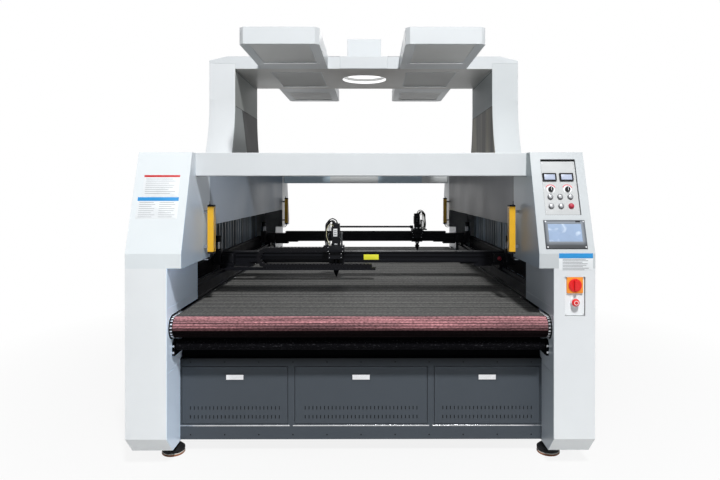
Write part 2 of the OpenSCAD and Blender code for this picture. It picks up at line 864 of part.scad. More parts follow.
// Side view of a leg, drawn in by d from its outer face
module leg_outline(d) {
  bottom = d > 0 ? tower_top_z - eps : tower_top_z;
  difference() {
    translate([-leg_foot_half_l + d, bottom]) square([2 * (leg_foot_half_l - d), leg_top - d - bottom]);
    for (s = [-1, 1]) {
      translate([s * (arch_half_l + leg_r), curve_z]) circle(r = leg_r + d, $fn = 180);
      translate([s > 0 ? arch_half_l - d : -leg_foot_half_l - 200, curve_z])
        square([leg_foot_half_l - arch_half_l + 200 + d, leg_top]);
    }
  }
}

module arch_legs() {
  color(cover_white) both_sides() {
    difference() {
      union() {
        along_x(leg_x0, leg_x1) leg_outline(0);
        box([leg_x0 - 4, -leg_foot_half_l - 4, tower_top_z],
            [leg_x1 + 4, leg_foot_half_l + 4, tower_top_z + plinth_h]);
      }
      along_x(leg_x0 + sheet_t, leg_x1 - sheet_t) leg_outline(sheet_t);
    }
  }
}

arch_top = 2517;
aperture_r = 188.5;
lamp_x0 = 350;
lamp_x1 = 745;

module arch_crossbeam() {
  outline = [
    [-leg_x1, leg_top], [-leg_x0, leg_top], [-leg_x0, arch_z], [leg_x0, arch_z], [leg_x0, leg_top],
    [leg_x1, leg_top], [leg_x1, arch_top - 33], [leg_x1 - 142, arch_top], [142 - leg_x1, arch_top],
    [-leg_x1, arch_top - 33]
  ];
  inner_top = arch_top - sheet_t;
  color(cover_white) {
    difference() {
      along_y(-arch_half_l, arch_half_l) polygon(outline);
      box([-leg_x0 + sheet_t, -arch_half_l + sheet_t, arch_z + sheet_t],
          [leg_x0 - sheet_t, arch_half_l - sheet_t, inner_top]);
      translate([0, 0, arch_z - eps]) cylinder(r = aperture_r, h = 10);
      translate([0, 0, arch_top - 10]) cylinder(r = 110, h = 20);
      both_sides() box([lamp_x0, -299, arch_z - eps], [lamp_x1, 307, arch_z + 2 * sheet_t]);
    }
    difference() {
      translate([0, 0, arch_z]) cylinder(r = aperture_r + sheet_t, h = 60);
      translate([0, 0, arch_z - eps]) cylinder(r = aperture_r, h = 62);
    }
    box([-187, -arch_half_l - 3, arch_z + 3], [187, -arch_half_l, arch_top - 2]);
  }
}

lamp_box_x0 = 283;
lamp_box_x1 = 808;
lamp_box_top = 2529;
lamp_chamfer = 28;
front_lamp_l = 769;
rear_lamp_l = 764;

// Plan of a lamp housing that starts at the arch and reaches out by l
function lamp_plan(l) = [
  [lamp_box_x0, 0], [lamp_box_x1, 0], [lamp_box_x1, l - lamp_chamfer],
  [lamp_box_x1 - lamp_chamfer, l], [lamp_box_x0 + lamp_chamfer, l], [lamp_box_x0, l - lamp_chamfer]
];

// Lamp housing: a shallow sheet-metal box with a window in its underside
module lamp_housing(l, window_y0, window_y1) {
  difference() {
    translate([0, 0, arch_z]) linear_extrude(height = lamp_box_top - arch_z) polygon(lamp_plan(l));
    translate([0, 0, arch_z + sheet_t]) linear_extrude(height = lamp_box_top - arch_z - 2 * sheet_t)
      polygon(inset(lamp_plan(l), sheet_t));
    box([lamp_x0, window_y0, arch_z - eps], [lamp_x1, window_y1, arch_z + 2 * sheet_t]);
  }
}

front_window = [224, 754];
rear_window = [220, 646];

module light_boxes() {
  color(cover_white) both_sides() {
    mirror([0, 1, 0]) translate([0, arch_half_l, 0])
      lamp_housing(front_lamp_l, front_window[0], front_window[1]);
    translate([0, arch_half_l, 0]) lamp_housing(rear_lamp_l, rear_window[0], rear_window[1]);
  }
}

// Opal plates of the six lamps, set a little way into their windows
module light_diffusers() {
  gap = 0.5;
  z0 = arch_z + 1.5;
  z1 = z0 + 4;
  color("#d7dadd") both_sides() {
    box([lamp_x0 + gap, -arch_half_l - front_window[1] + gap, z0],
        [lamp_x1 - gap, -arch_half_l - front_window[0] - gap, z1]);
    box([lamp_x0 + gap, -299 + gap, z0], [lamp_x1 - gap, 307 - gap, z1]);
    box([lamp_x0 + gap, arch_half_l + rear_window[0] + gap, z0],
        [lamp_x1 - gap, arch_half_l + rear_window[1] - gap, z1]);
  }
}

housing_x = 142;
housing_y = 140;
housing_top = 2732;

module camera_housing() {
  color(cover_white) difference() {
    box([-housing_x, -housing_y, arch_top], [housing_x, housing_y, housing_top]);
    box([-housing_x + sheet_t, -housing_y + sheet_t, arch_top - eps],
        [housing_x - sheet_t, housing_y - sheet_t, housing_top - sheet_t]);
  }
}

// Camera that looks down through the aperture, hung from the top of its housing
module scan_camera() {
  color(deep_black) {
    translate([-10, -10, housing_top - sheet_t - 60]) cube([20, 20, 60]);
    translate([-40, -40, housing_top - 163]) cube([80, 80, 100]);
    translate([0, 0, housing_top - 223]) cylinder(r = 32, h = 60);
    translate([0, 0, housing_top - 243]) cylinder(r = 36, h = 24);
  }
}

// ---------------------------------------------------------------- gantries

beam_h = 85;
beam_d = 80;
beam_half = 1140;
tee_w = 9;
tee_d = 12;
x_rail_z = 6;
x_rail_h = 15;
x_rail_d = 10;

// Side view of a gantry beam with T-slots, its front lower corner at the origin
module beam_section() {
  difference() {
    square([beam_d, beam_h]);
    translate([14, 14]) square([beam_d - 28, beam_h - 28]);
    for (z = [38, 66]) translate([-eps, z]) square([tee_d / 2 + eps, tee_w]);
    for (z = [38, 66]) translate([tee_d / 3, z - 4]) square([5, tee_w + 8]);
    for (y = [18, 53]) translate([y, beam_h - tee_d / 2]) square([tee_w, tee_d]);
    for (z = [20, 56]) translate([beam_d - tee_d / 2, z]) square([tee_d, tee_w]);
  }
}

// Gantry beam with the guide rail of its cutting head on the lower front
module gantry_beam(y) {
  color(deep_black) {
    translate([0, y, gantry_z]) along_x(-beam_half, beam_half) beam_section();
    box([-beam_half + 260, y - x_rail_d, gantry_z + x_rail_z],
        [beam_half - 260, y, gantry_z + x_rail_z + x_rail_h]);
  }
}

// End carriages: plate, rail block, cover and upright drive motor at each end
module carriages(y) {
  run_gap = 0.3;
  plate_z0 = gantry_z - 12;
  color(deep_black) both_sides() {
    box([985, y - 50, plate_z0], [1150, y + 110, gantry_z]);
    difference() {
      box([rail_x - 30, y - 20, rail_top - 14], [rail_x + 30, y + 100, plate_z0]);
      box([rail_x - rail_w / 2 - run_gap, y - 21, rail_top - 15],
          [rail_x + rail_w / 2 + run_gap, y + 101, rail_top + run_gap]);
    }
    box([985, y - 42, gantry_z], [1078, y, gantry_z + 74]);
    box([850, y, gantry_z - 26], [985, y + 80, gantry_z]);
    box([745, y + 5, gantry_z - 9], [850, y + 75, gantry_z]);
    box([1082, y - 50, gantry_z], [1138, y, gantry_z + 110]);
    translate([1110, y - 25, gantry_z + 110]) cylinder(r = 22, h = 85);
    bar_y(18, y - 62, y - 50, 1110, gantry_z + 40);
  }
}

chain_pitch = 27;
link_gap = 4;

// One link of an energy chain, centred on its run
module link(l, w, h) {
  translate([-l / 2, -w / 2, -h / 2]) cube([l, w, h]);
}

// Energy chain seen from the side as a sideways U: lower run, bend and upper run.
// x0 is where the bend starts, x_low and x_high are the ends of the two runs.
module energy_chain(x0, x_low, x_high, y, z_low, bend_r, w, h) {
  z_high = z_low + 2 * bend_r;
  core_h = h - 8;
  bend_links = round(PI * bend_r / chain_pitch);
  low_links = floor((x_low - x0) / chain_pitch);
  high_links = floor((x_high - x0) / chain_pitch);
  box([x0, y - w / 2 + 3, z_low - core_h / 2], [x_low, y + w / 2 - 3, z_low + core_h / 2]);
  box([x0, y - w / 2 + 3, z_high - core_h / 2], [x_high, y + w / 2 - 3, z_high + core_h / 2]);
  translate([x0, y + w / 2 - 3, z_low + bend_r]) rotate([90, 0, 0]) linear_extrude(height = w - 6)
    difference() {
      circle(r = bend_r + core_h / 2);
      circle(r = bend_r - core_h / 2);
      translate([0, -2 * bend_r]) square([4 * bend_r, 4 * bend_r]);
    }
  for (i = [0:low_links - 1]) translate([x0 + (i + 0.5) * chain_pitch, y, z_low])
    link(chain_pitch - link_gap, w, h);
  for (i = [0:high_links - 1]) translate([x0 + (i + 0.5) * chain_pitch, y, z_high])
    link(chain_pitch - link_gap, w, h);
  for (i = [0:bend_links - 1]) translate([x0, y, z_low + bend_r])
    rotate([0, 90 + (i + 0.5) * 180 / bend_links, 0]) translate([bend_r, 0, 0])
      rotate([0, 90, 0]) link(chain_pitch - link_gap, w, h);
}

tray_z = 873;
tray_t = 6;
tray_y0 = -150;
tray_y1 = -75;
tray_x0 = -1040;
tray_x1 = 90;

// Front beam with the tray that carries its energy chain, held at the left carriage
module front_gantry_beam() {
  tray_front = front_beam_y + tray_y0;
  tray_back = front_beam_y + tray_y1;
  plate_front = front_beam_y - 50;
  gantry_beam(front_beam_y);
  color(deep_black) {
    box([tray_x0, tray_front, tray_z], [tray_x1, tray_back, tray_z + tray_t]);
    box([tray_x0, tray_front, tray_z - 6], [tray_x1, tray_front + 3, tray_z + tray_t + 3]);
    box([tray_x0, tray_back, tray_z], [-985, plate_front + 5, tray_z + tray_t]);
    box([tray_x0, plate_front, tray_z + tray_t], [-985, plate_front + 5, gantry_z - 12]);
  }
}

// Rear beam with a strip on each side of the energy chain that lies on it
module rear_gantry_beam() {
  strip_half = 880;
  strip_z = gantry_z + beam_h;
  gantry_beam(rear_beam_y);
  color(deep_black) for (y = [12, beam_d - 15])
    box([-strip_half, rear_beam_y + y, strip_z], [strip_half, rear_beam_y + y + 3, strip_z + 22]);
}
module front_carriages() { carriages(front_beam_y); }
module rear_carriages() { carriages(rear_beam_y); }

front_chain_x0 = -721;
front_chain_h = 30;
module front_drag_chain() {
  color(deep_black) energy_chain(front_chain_x0, 60, front_head_x - 67,
    front_beam_y - 110, tray_z + tray_t + 1 + front_chain_h / 2, 61, 58, front_chain_h);
}

rear_chain_x0 = -330;
rear_chain_h = 18;
module rear_drag_chain() {
  color(deep_black) energy_chain(rear_chain_x0, 60, rear_head_x - 72,
    rear_beam_y + 40, gantry_z + beam_h + 0.2 + rear_chain_h / 2, 30, 40, rear_chain_h);
}

nozzle_y = -51;
nozzle_tube_r = 15;

// Cable of radius r that climbs from z0 to top, arches over to the left and ends at z1
module cable_arch(x, y, z0, z1, top, bend_r, r) {
  translate([x, y, z0]) cylinder(r = r, h = top - z0);
  translate([x - bend_r, y, top]) rotate([90, 0, 0]) rotate_extrude(angle = 180)
    translate([bend_r, 0]) circle(r = r);
  translate([x - 2 * bend_r, y, z1]) cylinder(r = r, h = top - z1);
}

// Cables of a head, with the bracket that they land on, on the left of its motor
module head_cables() {
  box([-92, -78, 1034], [-52, -20, 1046]);
  cable_arch(0, -28, 1150, 1045, 1189, 38, 6);
  cable_arch(-10, -12, 1190, 1044, 1212, 19, 4);
}

// Cutting head, with its nozzle's axis at the local origin and true heights
module head(x, beam_y, cable_side) {
  y0 = beam_y + nozzle_y;
  color(deep_black) translate([x, y0, 0]) {
    box([-58, 18, 900], [58, 38, 1045]);
    difference() {
      box([-40, 37, gantry_z - 3], [40, 49.5, gantry_z + x_rail_z + x_rail_h + 6]);
      box([-41, -nozzle_y - x_rail_d - 0.4, gantry_z + x_rail_z - 0.4],
          [41, 60, gantry_z + x_rail_z + x_rail_h + 0.4]);
    }
    box([-66, -80, 996], [62, 18, 1045]);
    difference() {
      union() {
        box([-58, -60, 946], [50, 18, 996]);
        translate([0, 0, 884]) cylinder(r = 20, h = 62);
      }
      translate([0, 0, 860]) cylinder(r = nozzle_tube_r + pin_gap, h = 120);
    }
    translate([-4, 0, 1045]) cylinder(r = 31, h = 15);
    box([-32, -34, 1060], [32, 34, 1097]);
    box([-37, -40, 1097], [28, 35, 1180]);
    box([-33, -36, 1180], [26, 31, 1208]);
    box([36, -24, 1045], [47, 24, 1141]);
    if (cable_side < 0) head_cables();
    else translate([6, 0, 0]) mirror([1, 0, 0]) head_cables();
  }
}

// Nozzle: a tube that slides in the head, and a cone down to the cloth
module nozzle(x, beam_y) {
  cone_r = 24;
  tip_z = 806;
  collar_z = 858;
  color(deep_black) translate([x, beam_y + nozzle_y, 0]) {
    translate([0, 0, collar_z]) cylinder(r = nozzle_tube_r, h = 100);
    translate([0, 0, collar_z]) cylinder(r = cone_r, h = 10);
    translate([0, 0, tip_z]) cylinder(r1 = 4, r2 = cone_r, h = collar_z - tip_z);
  }
}

module front_head() { head(front_head_x, front_beam_y, -1); }
module front_nozzle() { nozzle(front_head_x, front_beam_y); }
module rear_nozzle() { nozzle(rear_head_x, rear_beam_y); }

// The rear head has an arm over the beam, to which its energy chain is fixed
module rear_head() {
  head(rear_head_x, rear_beam_y, 1);
  color(deep_black)
    box([rear_head_x - 72, rear_beam_y - 20, 1045], [rear_head_x - 40, rear_beam_y + 60, 1074]);
}

base_frame();
levelling_feet();
front_tower_left();
front_tower_right();
rear_towers();
side_covers();
side_panels();
cross_beams();
front_cabinet();
rear_cabinet();
lower_apron();
suction_table();
conveyor_belt();
belt_chains();
guide_rails();
light_curtains();
curtain_fittings();
arch_legs();
arch_crossbeam();
light_boxes();
light_diffusers();
camera_housing();
scan_camera();
control_plate();
panel_fittings();
touch_panel();
switch_plate();
suction_blowers();
laser_tubes();
conveyor_motor();
roller_bearings();
front_roller();
rear_roller();
guide_roller();
front_gantry_beam();
front_carriages();
front_drag_chain();
front_head();
front_nozzle();
rear_gantry_beam();
rear_carriages();
rear_drag_chain();
rear_head();
rear_nozzle();
door_left();
door_middle();
door_right();
latch_left();
latch_middle();
latch_right();
isolator_handle();
stop_button();
knob_left();
knob_right();
button_upper_left();
button_upper_middle();
button_upper_right();
button_lower_left();
button_lower_middle();
button_lower_right();
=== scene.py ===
# %% [markdown]
# # A fabric laser cutting machine, dressed for the studio
#
# The machine cuts cloth on a conveyor bed. Its construction comes from a CAD
# model that is already packed: towers, base, bed, gantries, arch and every
# moving part, at real size and in metres. This lesson adds what CAD leaves
# out, which is the finish of each surface, the slats of the belt, the links
# of the energy chains, cables, screws, lenses and vents.
#
# X runs across the machine, Y from the feed side to the rear, and Z up.

# %% Load the frame
import bpy
import math
import numpy as np
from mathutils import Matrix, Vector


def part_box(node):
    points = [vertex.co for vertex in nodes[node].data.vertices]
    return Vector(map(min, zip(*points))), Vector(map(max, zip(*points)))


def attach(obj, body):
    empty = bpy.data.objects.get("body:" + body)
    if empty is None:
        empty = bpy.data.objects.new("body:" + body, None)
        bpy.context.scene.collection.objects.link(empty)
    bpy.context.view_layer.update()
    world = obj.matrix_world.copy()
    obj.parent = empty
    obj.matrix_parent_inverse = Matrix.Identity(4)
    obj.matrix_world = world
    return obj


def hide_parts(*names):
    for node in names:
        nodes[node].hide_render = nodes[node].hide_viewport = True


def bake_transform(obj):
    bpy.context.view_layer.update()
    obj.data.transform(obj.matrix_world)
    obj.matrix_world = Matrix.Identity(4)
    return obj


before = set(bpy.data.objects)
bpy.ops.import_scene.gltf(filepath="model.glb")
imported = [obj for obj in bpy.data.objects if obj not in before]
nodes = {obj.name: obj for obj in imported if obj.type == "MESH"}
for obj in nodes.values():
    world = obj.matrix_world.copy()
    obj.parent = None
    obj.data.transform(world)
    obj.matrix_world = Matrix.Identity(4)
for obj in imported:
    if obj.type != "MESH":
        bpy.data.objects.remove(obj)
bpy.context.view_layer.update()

# %% [markdown]
# ## Where things are
#
# Every new piece needs a place. Where the box of a CAD node gives it, it is
# read from there, so those pieces follow if the source changes. Other places,
# slopes and radii can't be read from a box and are given as numbers instead.

# %% Measured places
def span(node_name):
    """The lowest and the highest corner of a CAD node, as two arrays in metres."""
    low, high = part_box(node_name)
    return np.array(low), np.array(high)


front_y = -1.960
tower_back_y = 1.430
lean_foot_z = 1.129
lean_back = 0.183
tower_top = 1.671
lean = math.atan2(lean_back, tower_top - lean_foot_z)
print("the control face leans back by", round(math.degrees(lean), 1), "degrees")

# %% [markdown]
# ## The camera
#
# The viewer stands in front of the feed side, a little right of the middle,
# with the eye at about 1.46 m. A lens of medium width takes in the whole
# front and still shows the bed running away between the towers. The view is
# almost level, so the towers' edges stay upright.

# %% Camera
eye = (0.052, -4.910, 1.460)
view_pitch = math.radians(0.2)
view_yaw = math.radians(-0.2)
camera_data = bpy.data.cameras.new("camera")
camera_data.sensor_width = 36.0
camera_data.lens = 28.35
camera_data.shift_x = -0.0172
camera_data.shift_y = -0.0662
camera_data.clip_end = 100.0
camera = bpy.data.objects.new("camera", camera_data)
camera.location = eye
camera.rotation_euler = (math.pi / 2 - view_pitch, 0.0, view_yaw)
scene = bpy.context.scene
scene.collection.objects.link(camera)
scene.camera = camera
scene.view_settings.view_transform = "Standard"
print("camera at", eye, "with a lens of", camera_data.lens, "mm")

# %% [markdown]
# ## The studio
#
# Soft light from large panels suits painted sheet metal: it gives long, mild
# gradients and keeps the white covers readable. The floor and the world look
# white to the camera and to mirrors, but light the machine at a plain level,
# which is done with the Light Path node.

# %% Nodes and ray kinds
WHITE = (1.0, 1.0, 1.0)


def node(tree, kind, inputs=None, **settings):
    """A new shader node. Each of its inputs is given a value, or is linked if it is given a socket."""
    new = tree.nodes.new("ShaderNode" + kind)
    for key, value in settings.items():
        setattr(new, key, value)
    for key, value in (inputs or {}).items():
        if isinstance(value, bpy.types.NodeSocket):
            tree.links.new(value, new.inputs[key])
        else:
            new.inputs[key].default_value = value
    return new


def maths(tree, operation, first, second=0.5):
    """The result of one sum, product or comparison of numbers or sockets."""
    return node(tree, "Math", {0: first, 1: second}, operation=operation).outputs[0]


def seen_directly(tree):
    """1 for rays from the camera, from a mirror or through glass, and 0 for rays that only light."""
    path = node(tree, "LightPath").outputs
    direct = maths(tree, "MAXIMUM", path["Is Camera Ray"], path["Is Transmission Ray"])
    return maths(tree, "MAXIMUM", direct, path["Is Glossy Ray"])


# %% World and floor
world = bpy.data.worlds.new("studio")
scene.world = world
world.use_nodes = True
sky = world.node_tree
sky.nodes.clear()
lit = node(sky, "Background", {"Color": (0.90, 0.94, 1.0, 1.0), "Strength": 0.14})
shown = node(sky, "Background", {"Color": (*WHITE, 1.0), "Strength": 1.0})
pick = node(sky, "MixShader", {0: seen_directly(sky), 1: lit.outputs[0], 2: shown.outputs[0]})
node(sky, "OutputWorld", {"Surface": pick.outputs[0]})

floor_half = 40
floor_mesh = bpy.data.meshes.new("floor")
floor_mesh.from_pydata([(sx * floor_half, sy * floor_half, 0)
                        for sx, sy in ((-1, -1), (1, -1), (1, 1), (-1, 1))],
                       [], [(0, 1, 2, 3)])
floor = bpy.data.objects.new("floor", floor_mesh)
scene.collection.objects.link(floor)
print("the world is white to the eye and plain to the machine")

# %% [markdown]
# A floor that is only painted white turns grey far from the lamps, and then a
# horizon shows. Here it glows white to the camera beyond a few metres, and
# near the machine it is mostly paint, so that the soft shadow stays.

# %% Floor paint
floor_paint = bpy.data.materials.new("floor_paint")
floor_paint.use_nodes = True
floor_mesh.materials.append(floor_paint)
ground = floor_paint.node_tree
floor_shader = ground.nodes["Principled BSDF"]
floor_shader.inputs["Base Color"].default_value = (0.62, 0.62, 0.61, 1.0)
floor_shader.inputs["Roughness"].default_value = 0.8
glow = node(ground, "Emission", {"Color": (*WHITE, 1.0)})
reach = node(ground, "VectorMath", {0: node(ground, "TexCoord").outputs["Object"]}, operation="LENGTH")
fade = node(ground, "MapRange", {"Value": reach.outputs["Value"], "From Min": 1.8, "From Max": 3.6,
                                 "To Min": 0.86, "To Max": 1.0})
only_seen = maths(ground, "MULTIPLY", fade.outputs["Result"], seen_directly(ground))
floor_mix = node(ground, "MixShader", {0: only_seen, 1: floor_shader.outputs["BSDF"], 2: glow.outputs[0]})
ground.links.new(floor_mix.outputs[0], ground.nodes["Material Output"].inputs["Surface"])
print("floor paint")

# %% Lamps
def softbox(name, place, aim, size, watts):
    """A square area lamp at place that faces aim."""
    data = bpy.data.lights.new(name, "AREA")
    data.shape = "SQUARE"
    data.size = size
    data.energy = watts
    lamp = bpy.data.objects.new(name, data)
    lamp.location = place
    away = np.array(place, float) - np.array(aim, float)
    yaw = math.atan2(away[0], -away[1])
    lamp.rotation_euler = (math.acos(away[2] / np.linalg.norm(away)), 0.0, yaw)
    scene.collection.objects.link(lamp)


softbox("key_light", (1.1, -6.98, 8.45), (0, -0.9, 0.9), 0.6, 915)
softbox("fill_light", (-1.0, -12.0, 3.0), (0, 0, 1.0), 4.2, 35)
softbox("rear_light", (0.3, 7.5, 5.5), (0, 0, 1.0), 3.0, 150)
print("three softboxes")

# %% [markdown]
# ## Drawing shapes with numpy
#
# Almost every piece below is one of three kinds: a stack of outlines that
# grows and shrinks from layer to layer, such as a plate with rounded edges or
# a button; a profile carried along a path, such as a cable; or one small
# shape repeated many times, such as a screw or a chain link. Whole arrays are
# worked out at once and handed to Blender. A shape is a pair: its points, and
# its faces as lists of point numbers.

# %% Mesh from arrays
def piece(name, shape, look, slot_name, body="machine", smooth=30.0):
    """Makes a mesh from a shape, gives it a finish and lets it ride on a body, if there is one.

    smooth is the largest angle between faces that is still shaded round, in degrees.
    """
    points, faces = shape
    mesh = bpy.data.meshes.new(name)
    mesh.from_pydata(np.asarray(points, float).tolist(), [], [list(map(int, f)) for f in faces])
    mesh.validate()
    mesh.materials.append(look)
    mesh.set_sharp_from_angle(angle=math.radians(smooth))
    mesh.polygons.foreach_set("use_smooth", np.ones(len(mesh.polygons), bool))
    mesh.update()
    obj = bpy.data.objects.new(name, mesh)
    scene.collection.objects.link(obj)
    if body:
        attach(obj, body)
    return obj


def ring_faces(rings, around):
    """Quads between neighbouring rings of points, where each ring is closed on itself."""
    i = np.arange(rings - 1)[:, None] * around
    j = np.arange(around)[None, :]
    k = (j + 1) % around
    quads = np.stack([i + j, i + k, i + around + k, i + around + j], -1)
    return quads.reshape(-1, 4).tolist()


def tube_faces(rings, around):
    """The faces of ring_faces, with a lid on the first ring and one on the last."""
    last = (rings - 1) * around
    return ring_faces(rings, around) + [list(range(around))[::-1], list(range(last, last + around))]


def joined(shapes):
    """Several shapes as one, with the faces renumbered."""
    points, faces, start = [], [], 0
    for p, f in shapes:
        points.append(np.asarray(p, float))
        faces += [[v + start for v in face] for face in f]
        start += len(p)
    return np.concatenate(points), faces


# %% Outlines
def rounded_outline(width, height, radius, steps=5):
    """A rectangle with round corners, anticlockwise.

    Each corner is a quarter circle of that radius about a point that lies radius inside both sides.
    """
    turn = np.linspace(0, math.pi / 2, steps)
    arc = np.stack([np.cos(turn), np.sin(turn)], -1) * radius
    corners = []
    for k, (sx, sy) in enumerate([(1, 1), (-1, 1), (-1, -1), (1, -1)]):
        c, s = math.cos(k * math.pi / 2), math.sin(k * math.pi / 2)
        middle = [sx * (width / 2 - radius), sy * (height / 2 - radius)]
        corners.append(arc @ np.array([[c, s], [-s, c]]) + middle)
    return np.concatenate(corners)


def round_outline(radius, steps):
    """A circle: the cosine and the sine of evenly spaced angles, times the radius."""
    a = np.arange(steps) * 2 * math.pi / steps
    return np.stack([np.cos(a), np.sin(a)], -1) * radius


def drawn_in(outline, inset):
    """An outline moved inwards by inset along the mean of the two edge normals at each point.

    The move is divided by the cosine of half the bend there, so each edge moves by the same distance.
    """
    ahead = np.roll(outline, -1, 0) - outline
    ahead = ahead / np.maximum(np.linalg.norm(ahead, axis=1, keepdims=True), 1e-12)
    normal = np.stack([-ahead[:, 1], ahead[:, 0]], -1)
    mean = normal + np.roll(normal, 1, 0)
    mean = mean / np.maximum((mean * normal).sum(1, keepdims=True), 0.2)
    return outline + mean * inset


def stack(outline, layers):
    """Layers of one outline: each layer is (height, inset), and walls join neighbouring layers.

    The outline lies in XY and the height is Z.
    """
    rings = [np.c_[drawn_in(outline, inset), np.full(len(outline), height)] for height, inset in layers]
    return np.concatenate(rings), tube_faces(len(rings), len(outline))


def soft_plate(width, height, thickness, radius, edge):
    """A plate whose rim is rounded over by edge.

    Over a quarter turn, the inset is edge times one minus the cosine, and the height grows with the sine.
    """
    turn = np.linspace(0, math.pi / 2, 4)
    layers = [(0.0, 0.0)]
    layers += [(thickness - edge + edge * math.sin(t), edge * (1 - math.cos(t))) for t in turn]
    return stack(rounded_outline(width, height, radius), layers)


def turned(profile, steps):
    """A turned part: each (radius, height) of the profile becomes a circle, and walls join neighbours.

    A radius of 0 closes an end to a point.
    """
    circle = round_outline(1.0, steps)
    rings = [np.c_[circle * r, np.full(steps, h)] for r, h in profile]
    return np.concatenate(rings), tube_faces(len(rings), steps)


# %% Placing shapes
def axes(x, z):
    """A turn as three columns: x and z are directions, and y completes the right-handed set."""
    x, z = np.array(x, float), np.array(z, float)
    x, z = x / np.linalg.norm(x), z / np.linalg.norm(z)
    return np.stack([x, np.cross(z, x), z], -1)


UPRIGHT = axes((1, 0, 0), (0, 0, 1))
FACING_FRONT = axes((1, 0, 0), (0, -1, 0))
FACING_REAR = axes((-1, 0, 0), (0, 1, 0))
FACING_RIGHT = axes((0, 1, 0), (1, 0, 0))
FACING_LEFT = axes((0, -1, 0), (-1, 0, 0))
FACING_DOWN = axes((1, 0, 0), (0, 0, -1))
ON_LEAN = axes((1, 0, 0), (0, -math.cos(lean), math.sin(lean)))


def placed(shape, place, turn=UPRIGHT):
    """A shape turned and then moved: the new point is the turn times the old one, plus the place."""
    points, faces = shape
    return np.asarray(points) @ np.asarray(turn).T + np.asarray(place, float), faces


def repeated(shape, places, turn=UPRIGHT):
    """One copy of a shape at each place, worked out as a single sum of arrays."""
    points, faces = placed(shape, (0, 0, 0), turn)
    places = np.asarray(places, float).reshape(-1, 3)
    many = (points[None, :, :] + places[:, None, :]).reshape(-1, 3)
    n = len(points)
    return many, [[v + k * n for v in f] for k in range(len(places)) for f in faces]


def lean_point(x, v, w=0.0):
    """A point on the leaning control face: x across, v up the slope from its foot, w out of the face."""
    return np.array([x,
                     front_y + v * math.sin(lean) - w * math.cos(lean),
                     lean_foot_z + v * math.cos(lean) + w * math.sin(lean)])


# %% Cables
def smooth_path(knots, count):
    """A smooth line through the knots: a Catmull-Rom curve.

    Each stretch is a cubic whose slope at a knot is half the step between the knot's neighbours.
    """
    k = np.asarray(knots, float)
    k = np.concatenate([[2 * k[0] - k[1]], k, [2 * k[-1] - k[-2]]])
    t = np.linspace(0, len(k) - 3 - 1e-9, count)
    i = t.astype(int)
    f = (t - i)[:, None]
    a, b, c, d = k[i], k[i + 1], k[i + 2], k[i + 3]
    return 0.5 * (2 * b + (c - a) * f + (2 * a - 5 * b + 4 * c - d) * f**2 + (3 * b - a - 3 * c + d) * f**3)


def along(path, outline):
    """A profile carried along a path: at each point the outline lies square to the path.

    The side direction is turned from point to point by the least turn, so the profile doesn't twist.
    """
    ahead = np.gradient(path, axis=0)
    ahead /= np.linalg.norm(ahead, axis=1, keepdims=True)
    side = np.zeros_like(ahead)
    before = np.array([0.0, 0.0, 1.0]) if abs(ahead[0][2]) < 0.9 else np.array([1.0, 0.0, 0.0])
    for i in range(len(path)):
        step = before - ahead[i] * (before @ ahead[i])
        before = side[i] = step / np.linalg.norm(step)
    up = np.cross(ahead, side)
    ring = outline[None, :, 0, None] * side[:, None, :] + outline[None, :, 1, None] * up[:, None, :]
    points = path[:, None, :] + ring
    return points.reshape(-1, 3), tube_faces(len(path), len(outline))


def cable(knots, radius):
    """A round cable through the knots: 40 rings of ten points."""
    return along(smooth_path(knots, 40), round_outline(radius, 10))


print("shape tools are ready")

# %% [markdown]
# ## Finishes
#
# A real finish is never one flat colour. Powder coat has a fine orange peel
# and clouds of slightly different shade, extruded aluminium has streaks along
# the bar, and moulded plastic is faintly pebbled. One recipe covers them all:
# a slow noise shifts the colour, and a fine noise drives a bump. Stretching
# the fine noise along one axis turns grain into brushing. All of it is read
# from Object coordinates, which stay put on a rigid part.

# %% Recipe for a finish
def ramp(tree, source, low, high, dark, light):
    """A colour ramp on a socket: dark below low, light above high, and a smooth mix between them."""
    new = node(tree, "ValToRGB", {"Fac": source})
    for stop, place, colour in zip(new.color_ramp.elements, (low, high), (dark, light)):
        stop.position = place
        stop.color = (*colour, 1.0)
    return new.outputs["Color"]


def noise_of(tree, where, scale, detail):
    """A noise whose vector is first stretched by scale, in waves per metre along each axis."""
    stretched = node(tree, "Mapping", {"Vector": where, "Scale": scale}).outputs["Vector"]
    return node(tree, "TexNoise", {"Vector": stretched, "Scale": 1.0, "Detail": detail}).outputs["Fac"]


def object_place(tree):
    """The sockets of a finish's Texture Coordinate node, by name."""
    return [n for n in tree.nodes if n.type == "TEX_COORD"][0].outputs


